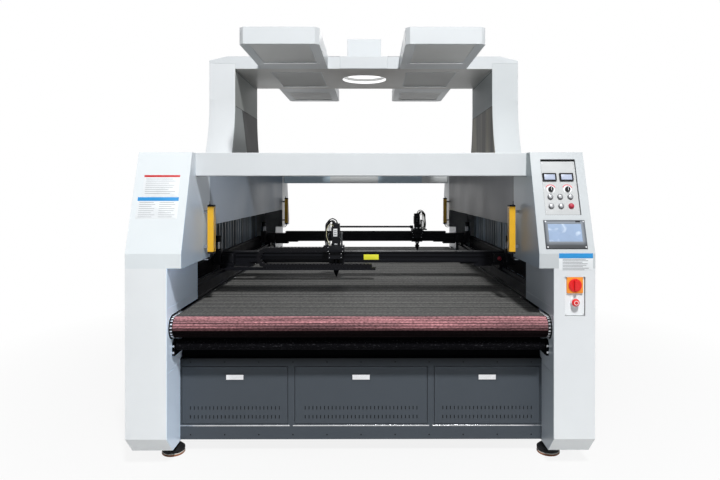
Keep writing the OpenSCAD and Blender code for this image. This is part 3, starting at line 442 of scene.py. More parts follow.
def finish(name, colour, roughness, metallic=0.0, cloud=(3.0, 0.05), grain=(900.0, 0.04),
           stretch=(1.0, 1.0, 1.0), shine=0.5, coat=0.0):
    """A surface: the colour is multiplied by one plus cloud noise, and a fine noise lifts the surface.

    cloud is (size in waves per metre, share of the colour) and grain is (waves per metre, strength).
    """
    m = bpy.data.materials.new(name)
    m.use_nodes = True
    m.diffuse_color = (*colour, 1.0)
    tree = m.node_tree
    where = node(tree, "TexCoord").outputs["Object"]
    slow = node(tree, "TexNoise", {"Vector": where, "Scale": cloud[0], "Detail": 4.0}).outputs["Fac"]
    low, high = ([min(c * (1.0 + share), 1.0) for c in colour] for share in (-cloud[1], cloud[1]))
    scaled = node(tree, "Mapping", {"Vector": where, "Scale": stretch}).outputs["Vector"]
    fine = node(tree, "TexNoise", {"Vector": scaled, "Scale": grain[0], "Detail": 2.0}).outputs["Fac"]
    bump = node(tree, "Bump", {"Height": fine, "Strength": grain[1], "Distance": 0.001})
    spread = node(tree, "MapRange", {"Value": slow, "From Min": 0.3, "From Max": 0.7,
                                     "To Min": max(roughness - 0.06, 0.02),
                                     "To Max": min(roughness + 0.06, 1.0)})
    paint(tree, ramp(tree, slow, 0.3, 0.7, low, high))
    paint(tree, bump.outputs["Normal"], "Normal")
    paint(tree, spread.outputs["Result"], "Roughness")
    inputs = tree.nodes["Principled BSDF"].inputs
    inputs["Metallic"].default_value = metallic
    inputs["Specular IOR Level"].default_value = shine
    inputs["Coat Weight"].default_value = coat
    return m


def paint(tree, socket, entry="Base Color"):
    """Links a socket to an entry of the finish's main shader."""
    tree.links.new(socket, tree.nodes["Principled BSDF"].inputs[entry])


def powder_coat(name, colour, roughness=0.42, shine=0.5):
    """Baked paint on sheet metal: fine orange peel and soft clouds. Dark paint shines less."""
    return finish(name, colour, roughness, cloud=(2.2, 0.025), grain=(520.0, 0.06),
                  shine=shine if max(colour) > 0.1 else 0.14)


def extrusion(name, colour, roughness):
    """Anodised aluminium bar: streaks along X, made by squeezing the grain across the bar."""
    return finish(name, colour, roughness, cloud=(9.0, 0.10), grain=(800.0, 0.10),
                  stretch=(0.02, 1.0, 1.0), shine=0.16)


def moulded(name, colour, roughness=0.5):
    """Injection-moulded plastic: a faint pebbled skin."""
    return finish(name, colour, roughness, cloud=(14.0, 0.04), grain=(1500.0, 0.10),
                  shine=0.5 if max(colour) > 0.1 else 0.14)


def ground_steel(name, colour=(0.62, 0.63, 0.65), roughness=0.28):
    """Bare steel ground along X: long fine scratches and small changes of tone."""
    return finish(name, colour, roughness, metallic=1.0, cloud=(25.0, 0.08), grain=(900.0, 0.16),
                  stretch=(0.03, 1.0, 1.0))


# %% Finishes of the machine
sheet_white = (0.81, 0.84, 0.86)
# Painted shade: beam_shaded_white is the towers' white sheet made darker, for the beams, the arch, the light
# boxes, the lamp trims and the camera housing.
beam_shaded_white = (0.64, 0.67, 0.69)
cabinet_blue = (0.068, 0.080, 0.095)
white_paint = powder_coat("white_paint", sheet_white)
beam_shaded_paint = powder_coat("beam_shaded_paint", beam_shaded_white)
door_paint = powder_coat("door_paint", cabinet_blue, 0.48)
cabinet_shaded_paint = powder_coat("cabinet_shaded_paint", cabinet_blue, 0.48)
black_paint = powder_coat("black_paint", (0.007, 0.008, 0.009), 0.5)
# A nearly black, matt finish for the lower apron.
deep_matt_black = finish("deep_matt_black", (0.0016, 0.0020, 0.0026), 0.8, shine=0.02)
table_paint = powder_coat("table_paint", (0.035, 0.038, 0.042), 0.5)
black_bar = extrusion("black_bar", (0.005, 0.0055, 0.008), 0.5)
dark_block = finish("dark_block", (0.006, 0.0065, 0.009), 0.5, cloud=(20.0, 0.1), grain=(1100.0, 0.08),
                    shine=0.16)
black_plastic = moulded("black_plastic", (0.007, 0.007, 0.009))
steel = ground_steel("steel")
bright_steel = ground_steel("bright_steel", (0.78, 0.79, 0.81), 0.2)
dark_roller = finish("dark_roller", (0.007, 0.0075, 0.009), 0.55, cloud=(30.0, 0.25), grain=(600.0, 0.15),
                     stretch=(0.03, 1.0, 1.0), shine=0.10)
black_rubber = moulded("black_rubber", (0.010, 0.010, 0.011), 0.75)
curtain_yellow = moulded("curtain_yellow", (0.80, 0.44, 0.02), 0.35)
plate_silver = finish("plate_silver", (0.52, 0.535, 0.54), 0.40, cloud=(10.0, 0.03), grain=(900.0, 0.08),
                      stretch=(0.04, 1.0, 1.0))
bezel_grey = moulded("bezel_grey", (0.25, 0.28, 0.32), 0.42)
isolator_yellow = moulded("isolator_yellow", (0.88, 0.29, 0.02), 0.4)
signal_red = moulded("signal_red", (0.72, 0.010, 0.012), 0.32)
rose_red = moulded("rose_red", (0.40, 0.018, 0.045), 0.42)
motor_blue = powder_coat("motor_blue", (0.028, 0.075, 0.19), 0.5)
opal = finish("opal", (0.74, 0.74, 0.725), 0.55, cloud=(6.0, 0.02), grain=(700.0, 0.02))
print("finishes:", len(bpy.data.materials))

# %% [markdown]
# ## Glass
#
# The sealed laser tubes are clear glass with a bluish cast. Transmission with
# a little tint in the base colour is enough, because they lie inside the rear
# cabinet and are only seen with its panels off.

# %% Glass
tube_glass = bpy.data.materials.new("tube_glass")
tube_glass.use_nodes = True
glass = tube_glass.node_tree
for entry, value in (("Transmission Weight", 0.9), ("IOR", 1.47), ("Roughness", 0.04)):
    glass.nodes["Principled BSDF"].inputs[entry].default_value = value
swirls = node(glass, "TexNoise", {"Vector": node(glass, "TexCoord").outputs["Object"], "Scale": 8.0})
paint(glass, ramp(glass, swirls.outputs["Fac"], 0.0, 1.0, (0.72, 0.86, 0.92), (0.84, 0.93, 0.96)))
print("glass for the laser tubes")

# %% [markdown]
# ## The belt's finish
#
# The belt is made of grey cross slats. Cloth dust and rubbing polish their
# crowns, so some bands are lighter than others, and where the belt wraps the
# rollers it is stained pink. The pattern must follow the belt round the
# rollers, so it reads a UV map in metres: U across the belt and V along its
# loop. A cosine of V darkens the gap between two slats, a noise mostly of V
# gives the polished bands, and a noise of both gives short woven dashes.

# %% Belt finish
def blended(tree, kind, factor, first, second):
    """Two colours mixed in one of Blender's ways, where factor is a number or a socket."""
    mix = node(tree, "Mix", data_type="RGBA", blend_type=kind)
    for entry, value in (("Factor", factor), ("A", first), ("B", second)):
        if isinstance(value, float):
            mix.inputs[entry].default_value = value
        else:
            tree.links.new(value, mix.inputs[entry])
    return mix.outputs["Result"]


def between(tree, value, low, high):
    """0 where the value is below low, 1 where it is above high, and a straight change between them."""
    return node(tree, "MapRange", {"Value": value, "From Min": low, "From Max": high}).outputs["Result"]


def split(tree, vector):
    """The X, Y and Z sockets of a vector."""
    return node(tree, "SeparateXYZ", {"Vector": vector}).outputs


def belt_finish(name, wrap_y, wrap_z, pitch):
    """Grey slats with polished bands, stained pink where |y| is beyond wrap_y, in painted shade below wrap_z.

    The gap between slats is where the cosine of 2 pi V / pitch is high.
    """
    m = finish(name, (0.105, 0.110, 0.108), 0.6, cloud=(30.0, 0.22), grain=(900.0, 0.12),
               stretch=(0.1, 1.0, 1.0))
    tree = m.node_tree
    flat, place = (object_place(tree)[kind] for kind in ("UV", "Object"))
    dashes = noise_of(tree, flat, (70.0, 150.0, 1.0), 3.0)
    polish = noise_of(tree, flat, (0.02, 26.0, 1.0), 6.0)
    top = blended(tree, "OVERLAY", 0.75,
                  ramp(tree, polish, 0.36, 0.66, (0.042, 0.044, 0.046), (0.145, 0.143, 0.139)),
                  ramp(tree, dashes, 0.30, 0.72, (0.18, 0.18, 0.18), (0.86, 0.85, 0.82)))
    stain = noise_of(tree, flat, (1.6, 40.0, 1.0), 5.0)
    wrap = blended(tree, "OVERLAY", 0.75,
                   ramp(tree, stain, 0.36, 0.66, (0.19, 0.110, 0.120), (0.54, 0.27, 0.295)),
                   ramp(tree, dashes, 0.32, 0.70, (0.16, 0.15, 0.15), (0.92, 0.88, 0.86)))
    beyond = between(tree, maths(tree, "ABSOLUTE", split(tree, place)["Y"]), wrap_y - 0.006, wrap_y + 0.006)
    # Painted shade: below the roller's middle the wrap turns nearly black and shines less, where light from
    # above falls off.
    drop = between(tree, split(tree, place)["Z"], wrap_z - 0.086, wrap_z)
    wrap_underside_shade = ramp(tree, drop, 0.20, 0.58, (0.012, 0.014, 0.015), (1.0, 0.96, 0.96))
    paint(tree, ramp(tree, drop, 0.20, 0.58, (0.02, 0.02, 0.02), (0.05, 0.05, 0.05)), "Specular IOR Level")
    # The pink stain is mixed here with that painted shade.
    stained = blended(tree, "MIX", beyond, top, blended(tree, "MULTIPLY", 1.0, wrap, wrap_underside_shade))
    swing = maths(tree, "COSINE", maths(tree, "MULTIPLY", split(tree, flat)["Y"], 2 * math.pi / pitch))
    gaps = ramp(tree, swing, 0.30, 0.85, WHITE, (0.30, 0.30, 0.31))
    paint(tree, blended(tree, "MULTIPLY", 1.0, stained, gaps))
    return m


slat_pitch = 0.0148
slat_grey = belt_finish("slat_grey", wrap_y=1.876, wrap_z=0.786, pitch=slat_pitch)
woven_black = finish("woven_black", (0.004, 0.004, 0.005), 0.8, grain=(700.0, 0.3), stretch=(0.2, 1.0, 1.0),
                     shine=0.03)
weave = woven_black.node_tree
specks = noise_of(weave, object_place(weave)["Object"], (90.0, 260.0, 260.0), 4.0)
paint(weave, ramp(weave, specks, 0.60, 0.80, (0.003, 0.003, 0.004), (0.09, 0.09, 0.10)))
print("belt finish")

# %% [markdown]
# ## One node, several tones
#
# Some CAD nodes are painted in more than one shade. Glossy sheet that looks
# into the dark machine gets less light than the same sheet outside, and that
# shade, with some light and reflection, is painted into its colour here.
# So a finish can be multiplied by tones that depend on the Object position.
# A mask is 0 on one side of a limit and 1 on the other, with a soft step
# between. A wide step gives a slow change of shade.

# %% Masks and tones
X_AXIS, Y_AXIS, Z_AXIS = (1, 0, 0), (0, 1, 0), (0, 0, 1)


def past(tree, where, direction, limit, soft=0.0005):
    """0 where the dot product of the Object position and a direction is below a limit, and 1 above it."""
    reach = node(tree, "VectorMath", {0: where, 1: direction}, operation="DOT_PRODUCT")
    return between(tree, reach.outputs["Value"], limit - soft, limit + soft)


def mirrored(tree, where):
    """The Object position with its X made positive, so that left and right are painted alike."""
    x, y, z = split(tree, where)
    return node(tree, "CombineXYZ", {0: maths(tree, "ABSOLUTE", x), 1: y, 2: z}).outputs["Vector"]


def mixed(tree, mask, low, high):
    """The colour low where the mask is 0 and high where it is 1. Each is three numbers or a socket."""
    sockets = []
    for colour in (low, high):
        if isinstance(colour, tuple):
            plain = node(tree, "RGB").outputs[0]
            plain.default_value = (*colour, 1.0)
            colour = plain
        sockets.append(colour)
    return blended(tree, "MIX", mask, *sockets)


def toned(m, tones):
    """Multiplies a finish's colour by tones(tree, where), and keeps its own clouds and grain."""
    tree = m.node_tree
    first = tree.nodes["Principled BSDF"].inputs["Base Color"].links[0].from_socket
    paint(tree, blended(tree, "MULTIPLY", 1.0, first, tones(tree, object_place(tree)["Object"])))
    return m


print("masks and tones")

# %% Painted light and shade on towers and covers
head_face, column_face, head_floor = 0.9335, 1.0095, 1.0530


def tower_light_and_shade(foot, column, head, inner_column, inner_low, inner_high):
    """Painted light and shade on one tower: tones up its front, and up the two faces that look into the
    machine.
    """
    def tones(tree, where):
        aside = mirrored(tree, where)
        upper = past(tree, where, Z_AXIS, head_floor)
        front = mixed(tree, upper, mixed(tree, past(tree, where, Z_AXIS, 0.65, 0.45), foot, column), head)
        low_inner = mixed(tree, past(tree, aside, X_AXIS, column_face), inner_column, front)
        high_inner = mixed(tree, past(tree, where, Z_AXIS, 1.50, 0.12), inner_low, inner_high)
        high_all = mixed(tree, past(tree, aside, X_AXIS, head_face), high_inner, head)
        return mixed(tree, upper, low_inner, high_all)
    return tones


def cover_shade_tones(tree, where):
    """Painted shade on the covers' inner walls: darker towards the rear, and a bluer shade on the left than
    on the right.
    """
    deep = past(tree, where, Y_AXIS, -0.85, 0.50)
    inside = mixed(tree, past(tree, where, X_AXIS, 0.0),
                   mixed(tree, deep, (0.46, 0.52, 0.62), (0.22, 0.27, 0.34)),
                   mixed(tree, deep, (0.25, 0.25, 0.27), (0.17, 0.17, 0.18)))
    return mixed(tree, past(tree, mirrored(tree, where), X_AXIS, head_face), inside, WHITE)


# The left tower gets painted light, lighter and bluer low on its inner column, and painted shade higher
# inside; the right tower gets painted shade, darkest on its head and inner faces.
left_tower_painted_light_and_shade = toned(powder_coat("left_tower_painted_light_and_shade", sheet_white, 0.34), tower_light_and_shade(
    (1.06, 1.06, 1.06), (0.98, 0.98, 0.98), (0.90, 0.925, 0.93),
    (1.20, 1.35, 1.56), (0.70, 0.81, 0.95), (0.90, 0.93, 0.96)))
right_tower_painted_shade = toned(powder_coat("right_tower_painted_shade", sheet_white, 0.34), tower_light_and_shade(
    (1.02, 1.02, 1.02), (0.87, 0.87, 0.88), (0.665, 0.680, 0.685),
    (0.54, 0.58, 0.63), (0.36, 0.43, 0.51), (0.48, 0.54, 0.54)))
cover_painted_shade = toned(powder_coat("cover_painted_shade", sheet_white, 0.34, 0.05), cover_shade_tones)
print("three tones of white sheet")

# %% Painted light and shade on the arch, the beams and the cabinet, and tones of the panels and the curtains' fittings
leg_face, crease_z, under_face = 1.0145, 2.125, 2.4185
cross_face, pleat_face, bracket_face = 1.5865, 1.2155, 0.9085


def leg_light_and_shade(tree, where):
    """Painted shade on the legs' inner sheets: dark, changing tone at the crease height, with painted shadow
    behind a slanting line, painted reflection streaks on the right, and lighter near the top.
    """
    top = past(tree, where, Z_AXIS, 2.30, 0.12)
    right_side = past(tree, where, X_AXIS, 0.0)
    # Painted shadow: the left leg's inner sheet is much darker beyond a slanting line.
    slanted_shadow = past(tree, where, (0, 1, 0.55), 0.969, 0.004)
    # Painted reflection: brownish streaks on the right leg's inner sheet below the crease.
    streaks = noise_of(tree, where, (0.1, 4.5, 0.5), 1.0)
    low = mixed(tree, right_side, mixed(tree, slanted_shadow, (0.500, 0.520, 0.510), (0.070, 0.068, 0.069)),
                ramp(tree, streaks, 0.46, 0.60, (0.230, 0.214, 0.200), (0.540, 0.490, 0.400)))
    high = mixed(tree, right_side, mixed(tree, top, (0.520, 0.530, 0.500), (0.700, 0.700, 0.670)),
                 mixed(tree, top, (0.520, 0.550, 0.560), (0.780, 0.790, 0.780)))
    inside = mixed(tree, past(tree, where, Z_AXIS, crease_z), low, high)
    # Painted shade: the right leg's outer face is darker than the left one's.
    outside = mixed(tree, right_side, (0.89, 0.89, 0.89), (0.77, 0.78, 0.78))
    return mixed(tree, past(tree, mirrored(tree, where), X_AXIS, leg_face), inside, outside)


def arch_underside_shade(tree, where):
    """Painted shade on the crossbeam's underside: warmer and darker towards the round aperture."""
    aside = mirrored(tree, where)
    under = mixed(tree, past(tree, aside, X_AXIS, 0.32, 0.16), (0.50, 0.44, 0.38), (0.98, 0.93, 0.87))
    return mixed(tree, past(tree, where, Z_AXIS, under_face), under, WHITE)


def cross_beam_light_and_shadow(tree, where):
    """Painted light and shadow on the front face of the rear cross beam: two bluish lengths of painted shade
    between light lengths of painted sunlight.
    """
    # Both kinds of length are painted lighter than the beam's own paint.
    blue, light = (1.08, 1.28, 1.42), (1.44, 1.42, 1.38)
    lengths = light
    for limit, left in ((0.64, blue), (0.14, light), (-0.41, blue)):
        lengths = mixed(tree, past(tree, where, X_AXIS, limit), left, lengths)
    rear = mixed(tree, past(tree, where, Y_AXIS, cross_face), lengths, WHITE)
    return mixed(tree, past(tree, where, Y_AXIS, 0.0), WHITE, rear)


def pleat_tones(tree, where):
    """Long upright streaks on the inner face of the pleated sheets, and one shade outside."""
    streaks = noise_of(tree, where, (0.5, 7.0, 0.15), 3.0)
    inside = ramp(tree, streaks, 0.38, 0.62, (0.26, 0.275, 0.29), (1.93, 1.91, 1.85))
    return mixed(tree, past(tree, mirrored(tree, where), X_AXIS, pleat_face), inside, WHITE)


def cabinet_overhang_shade(tree, where):
    """Painted shade, nearly black, above the doors where the belt overhangs."""
    return mixed(tree, past(tree, where, Z_AXIS, 0.495, 0.030), WHITE, (0.06, 0.07, 0.08))


def fitting_tones(tree, where):
    """Black brackets inside, and light ones against the towers."""
    return mixed(tree, past(tree, mirrored(tree, where), X_AXIS, bracket_face), WHITE, (30.0, 33.0, 30.0))


toned(cabinet_shaded_paint, cabinet_overhang_shade)
leg_painted_shade = toned(powder_coat("leg_painted_shade", sheet_white, 0.42, 0.03), leg_light_and_shade)
arch_shaded_paint = toned(powder_coat("arch_shaded_paint", beam_shaded_white), arch_underside_shade)
cross_beam_painted_light = toned(powder_coat("cross_beam_painted_light", beam_shaded_white), cross_beam_light_and_shadow)
streaked_grey = toned(powder_coat("streaked_grey", (0.29, 0.345, 0.41)), pleat_tones)
fitting_black = toned(moulded("fitting_black", (0.007, 0.007, 0.009)), fitting_tones)
print("arch, beams, panels and fittings")

# %% Levelling feet
def banded(name, base, bands, top):
    """A finish whose colour depends on the height: each band is (share of top, colour), up to the next."""
    m = moulded(name, base, 0.6)
    tree = m.node_tree
    height = split(tree, object_place(tree)["Object"])["Z"]
    share = node(tree, "MapRange", {"Value": height, "From Max": top})
    steps = node(tree, "ValToRGB", {"Fac": share.outputs["Result"]})
    steps.color_ramp.interpolation = "CONSTANT"
    for k, (place, colour) in enumerate(bands):
        step = steps.color_ramp.elements[k] if k < 2 else steps.color_ramp.elements.new(place)
        step.position = place
        step.color = (*colour, 1.0)
    paint(tree, steps.outputs["Color"])
    return m


iron = (0.012, 0.012, 0.013)
foot_finish = banded("foot_finish", iron,
                     [(0.0, (0.34, 0.13, 0.06)), (0.11, (0.62, 0.60, 0.56)), (0.16, iron)], 0.1)
print("the feet: an orange-brown rubber ring, a pale band and a black iron bell")

# %% Paint the CAD nodes
dress = (
    (black_paint, "base_frame roller_bearings"), (foot_finish, "levelling_feet"),
    (left_tower_painted_light_and_shade, "front_tower_left"), (right_tower_painted_shade, "front_tower_right"),
    (white_paint, "rear_towers switch_plate"), (cover_painted_shade, "side_covers"), (streaked_grey, "side_panels"),
    (cross_beam_painted_light, "cross_beams"), (cabinet_shaded_paint, "front_cabinet"),
    (door_paint, "rear_cabinet door_left door_middle door_right"), (deep_matt_black, "lower_apron"),
    (table_paint, "suction_table"), (slat_grey, "conveyor_belt"), (woven_black, "guide_roller"),
    (black_plastic, "belt_chains panel_fittings front_drag_chain rear_drag_chain knob_left knob_right"),
    (black_bar, "guide_rails front_gantry_beam rear_gantry_beam"), (curtain_yellow, "light_curtains"),
    (fitting_black, "curtain_fittings"), (leg_painted_shade, "arch_legs"), (arch_shaded_paint, "arch_crossbeam"),
    (beam_shaded_paint, "light_boxes camera_housing"), (opal, "light_diffusers"), (plate_silver, "control_plate"),
    (dark_block, "scan_camera suction_blowers front_carriages rear_carriages front_head rear_head"),
    (dark_block, "front_nozzle rear_nozzle"), (bezel_grey, "touch_panel"), (tube_glass, "laser_tubes"),
    (motor_blue, "conveyor_motor"), (steel, "front_roller rear_roller"),
    (bright_steel, "latch_left latch_middle latch_right button_upper_left button_upper_middle"),
    (bright_steel, "button_upper_right button_lower_left button_lower_middle"),
    (rose_red, "button_lower_right"), (signal_red, "isolator_handle stop_button"),
)
for look, names in dress:
    for name in names.split():
        nodes[name].data.materials.clear()
        nodes[name].data.materials.append(look)
print("painted", sum(len(names.split()) for _, names in dress), "of", len(nodes), "CAD nodes")

# %% [markdown]
# ## Soft edges
#
# Folded sheet metal has a bend radius and machined bars have broken edges,
# and a thin line of light runs along each. CAD edges are perfectly sharp. A
# Weld modifier joins the loose triangles and a Bevel modifier rounds every
# edge that turns by more than 35 degrees, without touching the CAD mesh.

# %% Rounded edges on sheet metal and bars
edge_widths = (
    (0.0028, "front_tower_left rear_towers side_covers cross_beams camera_housing"), (0.0025, "arch_legs"),
    (0.0022, "arch_crossbeam"), (0.0016, "isolator_handle"),
    (0.0015, "light_curtains"), (0.0014, "light_boxes"),
    (0.0012, "touch_panel front_carriages rear_carriages"), (0.0010, "front_tower_right stop_button"),
)
for width, names in edge_widths:
    for name in names.split():
        weld = nodes[name].modifiers.new("weld", "WELD")
        weld.merge_threshold = 0.00002
        bevel = nodes[name].modifiers.new("soft_edges", "BEVEL")
        bevel.width = width
        bevel.segments = 2
        bevel.limit_method = "ANGLE"
        bevel.angle_limit = math.radians(35)
        bevel.use_clamp_overlap = True
        bevel.harden_normals = False
print("softened edges")

# %% [markdown]
# ## The conveyor belt
#
# The real belt is hundreds of narrow slats on two side chains. Seen from the
# front it is the largest surface of all, so it gets its own piece in place of
# the plain CAD loop. The loop is a stadium: two straight runs and two half
# circles. One function turns a distance along the loop and a height above
# its middle line into a point, and the slats are a ripple of that height.

# %% The loop's path
belt_low, belt_high = span("conveyor_belt")
roller_y = 1.870
belt_radius = (belt_high[2] - belt_low[2]) / 2
roller_z = (belt_high[2] + belt_low[2]) / 2
run = 2 * roller_y
bend = math.pi * belt_radius
loop_length = 2 * (run + bend)


def on_loop(d, h):
    """Points (y, z) at distance d along the loop and height h above the line that joins the rollers' axes.

    On the straight runs y grows or shrinks with d. Round a roller the angle is the distance over the radius.
    """
    d, h = np.broadcast_arrays(np.asarray(d, float) % loop_length, np.asarray(h, float))
    rear = math.pi / 2 - (d - run) / belt_radius
    front = 3 * math.pi / 2 - (d - 2 * run - bend) / belt_radius
    stretches = [d < run, d < run + bend, d < 2 * run + bend]
    y = np.select(stretches, [-roller_y + d, roller_y + h * np.cos(rear), roller_y - (d - run - bend)],
                  -roller_y + h * np.cos(front))
    z = np.select(stretches, [roller_z + h, roller_z + h * np.sin(rear), roller_z - h],
                  roller_z + h * np.sin(front))
    return np.stack([y, z], -1)


print("the belt's loop is", round(loop_length, 3), "m long")

# %% Slats
slats = round(loop_length / slat_pitch)
across_slat = 8
slat_groove, belt_thickness = 0.0030, 0.010


def belt_shape(x0, x1):
    """A closed band of slats from x0 to x1.

    The height is the belt's radius less a groove, which is the groove depth times the cosine of one turn per
    slat, clipped from below to a flat crown. The inner side is a smooth loop, and four rings close the band.
    Each face corner also gets a UV in metres: x, and the distance along the loop in slats times the pitch.
    """
    n = slats * across_slat
    d = np.arange(n) * loop_length / n
    turn = np.cos(2 * math.pi * d / (loop_length / slats))
    outer = on_loop(d, belt_radius - slat_groove * np.clip(turn - 0.25, 0, 1) / 0.75)
    inner = on_loop(d, belt_radius - belt_thickness)
    corners = ((x0, outer), (x1, outer), (x1, inner), (x0, inner))
    points = np.concatenate([np.c_[np.full(n, x), line] for x, line in corners])
    i = np.arange(4)[:, None] * n
    j = np.arange(n)[None, :]
    k = (j + 1) % n
    nxt = (i + n) % (4 * n)
    faces = np.stack([i + j, nxt + j, nxt + k, i + k], -1).reshape(-1, 4)
    step = np.broadcast_to(j, (4, n)).reshape(-1)
    along_loop = np.stack([step, step, step + 1, step + 1], -1) * slat_pitch * slats / n
    return points, faces, np.stack([points[faces, 0], along_loop], -1)


belt_points, belt_faces, belt_uv = belt_shape(belt_low[0], belt_high[0])
belt = piece("slatted_belt", (belt_points, belt_faces.tolist()), slat_grey, "belt_slats", smooth=50)
belt.data.uv_layers.new(name="metres").data.foreach_set("uv", belt_uv.astype(np.float32).ravel())
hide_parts("conveyor_belt")
print(slats, "slats,", round(loop_length / slats * 1000, 1), "mm each,", len(belt.data.polygons), "faces")

# %% [markdown]
# ## Side chains
#
# A roller chain runs along each end of the slats. Where it wraps the rollers
# its bright pins and rollers catch the light as a row of dots. Each link is
# a small turned roller and a plate, repeated along the same loop function.

# %% Chain rollers
chain_pitch = 0.0190
chain_drop = 0.0042
roller_shape = turned([(0.0, 0.0), (0.0052, 0.0), (0.0056, 0.0006), (0.0056, 0.0115), (0.0050, 0.0124),
                       (0.0, 0.0126)], 12)
along_chain = np.arange(0, loop_length, chain_pitch)
at_rear = (along_chain > run - 0.12) & (along_chain < run + bend + 0.05)
wraps = along_chain[at_rear | (along_chain > 2 * run + bend - 0.05) | (along_chain < 0.12)]
chain_yz = on_loop(wraps, belt_radius - chain_drop)
rollers = [repeated(roller_shape, np.c_[np.full(len(chain_yz), x), chain_yz], turn)
           for x, turn in ((belt_high[0] + 0.0032, FACING_RIGHT), (belt_low[0] - 0.0032, FACING_LEFT))]
piece("chain_rollers", joined(rollers), bright_steel, "cap_silver")
print("chain rollers:", 2 * len(wraps))

# %% Chain side plates
link_bar = soft_plate(0.0255, 0.0086, 0.0016, 0.0036, 0.0004)
plates = []
for d in wraps[::2]:
    a, b = on_loop(d, belt_radius - chain_drop), on_loop(d + chain_pitch, belt_radius - chain_drop)
    y, z = (b - a) / np.linalg.norm(b - a)
    middle = (a + b) / 2
    for side, x in ((1, belt_high[0] + 0.0126), (-1, belt_low[0] - 0.0126)):
        turn = np.array([[0, 0, side], [y, -z * side, 0], [z, y * side, 0]])
        plates.append(placed(link_bar, (x, *middle), turn))
piece("chain_plates", joined(plates), steel, "roller_steel")
print("chain plates:", len(plates))

# %% [markdown]
# ## Wear strips beside the belt
#
# A black guard strip covers each chain along the bed, held by countersunk
# screws. It is a long plate with rounded edges, from one tower to the other.

# %% Guard strips
guard_x = 0.9985
guard = soft_plate(0.016, 2 * tower_back_y - 0.02, 0.0025, 0.002, 0.0008)
guard_screw = turned([(0.0, 0.0), (0.0042, 0.0), (0.0042, 0.0006), (0.0034, 0.0012), (0.0018, 0.0012),
                      (0.0014, 0.0004), (0.0, 0.0004)], 12)
guard_places = [(x, 0, belt_high[2] + 0.0012) for x in (-guard_x, guard_x)]
screw_places = [(x, y, belt_high[2] + 0.0036)
                for x in (-guard_x, guard_x) for y in np.arange(-1.35, 1.36, 0.27)]
piece("chain_guards", repeated(guard, guard_places), black_paint, "frame_black")
piece("guard_screws", repeated(guard_screw, screw_places), bright_steel, "cap_silver")
print("two guard strips")

# %% [markdown]
# ## Small hardware
#
# Screws, rivets and rings are used all over the machine. Each is a turned
# profile: a few (radius, height) pairs spun about an axis. A hollow ring is
# the same, except that the last circle is joined back to the first, so it has
# no middle.

# %% Screws and rings
def ring_turned(profile, steps):
    """A turned ring: the profile is a closed loop of (radius, height) pairs, so the last meets the first."""
    around = np.arange(steps)
    after = (around + 1) % steps
    last = (len(profile) - 1) * steps
    closing = np.stack([last + around, last + after, after, around], -1).tolist()
    return turned(profile, steps)[0], ring_faces(len(profile), steps) + closing


def screw(radius, height):
    """A socket screw's head: a short drum with a broken edge and a sunk socket."""
    r, h = radius, height
    return turned([(0.0, 0.0), (r, 0.0), (r, h * 0.7), (r * 0.88, h), (r * 0.5, h), (r * 0.45, h * 0.35),
                   (0.0, h * 0.3)], 16)


def hexagon(across, height):
    """A nut or bolt head: a circle in six steps, with its top edge broken."""
    return stack(round_outline(across / math.sqrt(3), 6),
                 [(0, 0), (height * 0.85, 0), (height, across * 0.06)])


def grid(xs, ys):
    """Every pair of an x and a y, x by x."""
    return [(x, y) for x in xs for y in ys]


BOTH = (-1, 1)
print("a screw head has", len(screw(0.004, 0.002)[0]), "points")

# %% [markdown]
# ## Glass, paper and print
#
# The screen is blue plastic film with soft pale reflections, which are
# painted into its colour once as painted reflection: a large warped noise is
# squeezed by a colour ramp so that only its crests show as pale wisps.
# Displays, cards and colour bars are plain matt finishes.

# %% Finishes of screens and cards
screen_film = finish("screen_film", (0.31, 0.41, 0.58), 0.16, cloud=(14.0, 0.05), grain=(400.0, 0.02))
film = screen_film.node_tree
# Painted reflection: pale wisps in the film's colour.
wisps = node(film, "TexNoise", {"Vector": object_place(film)["Object"], "Scale": 13.0, "Detail": 2.0,
                                "Distortion": 1.6}).outputs["Fac"]
film_colour = film.nodes["Principled BSDF"].inputs["Base Color"].links[0].from_socket
pale = node(film, "RGB").outputs[0]
pale.default_value = (0.70, 0.80, 0.90, 1)
crests = ramp(film, wisps, 0.56, 0.72, (0, 0, 0), (0.7, 0.7, 0.7))
paint(film, blended(film, "MIX", crests, film_colour, pale))
chrome = finish("chrome", (0.50, 0.51, 0.53), 0.22, metallic=1.0, cloud=(20.0, 0.04), grain=(900.0, 0.03))
# Painted shade: the collars round the chrome caps are a dark chrome, so each cap shows a dark ring like a
# shadow crescent.
shaded_chrome = finish("shaded_chrome", (0.16, 0.16, 0.17), 0.26, metallic=1.0, cloud=(20.0, 0.04),
                     grain=(900.0, 0.03))
display_grey = moulded("display_grey", (0.42, 0.47, 0.60), 0.3)
card_white = moulded("card_white", (0.76, 0.79, 0.81), 0.6)
print_grey = moulded("print_grey", (0.20, 0.21, 0.23), 0.6)
print_blue = moulded("print_blue", (0.02, 0.27, 0.62), 0.45)
print_red = moulded("print_red", (0.55, 0.03, 0.03), 0.45)
dial_red = moulded("dial_red", (0.72, 0.10, 0.12), 0.5)
plain_white = moulded("plain_white", (0.82, 0.83, 0.84), 0.4)
print("screen film, displays and cards")

# %% [markdown]
# ## Touch screen
#
# The operating panel is a grey frame round a film-covered screen. The frame
# comes from the CAD; the screen is a thin plate let into it, and four screws
# hold the frame at its corners.

# %% Screen
bezel_low, bezel_high = span("touch_panel")


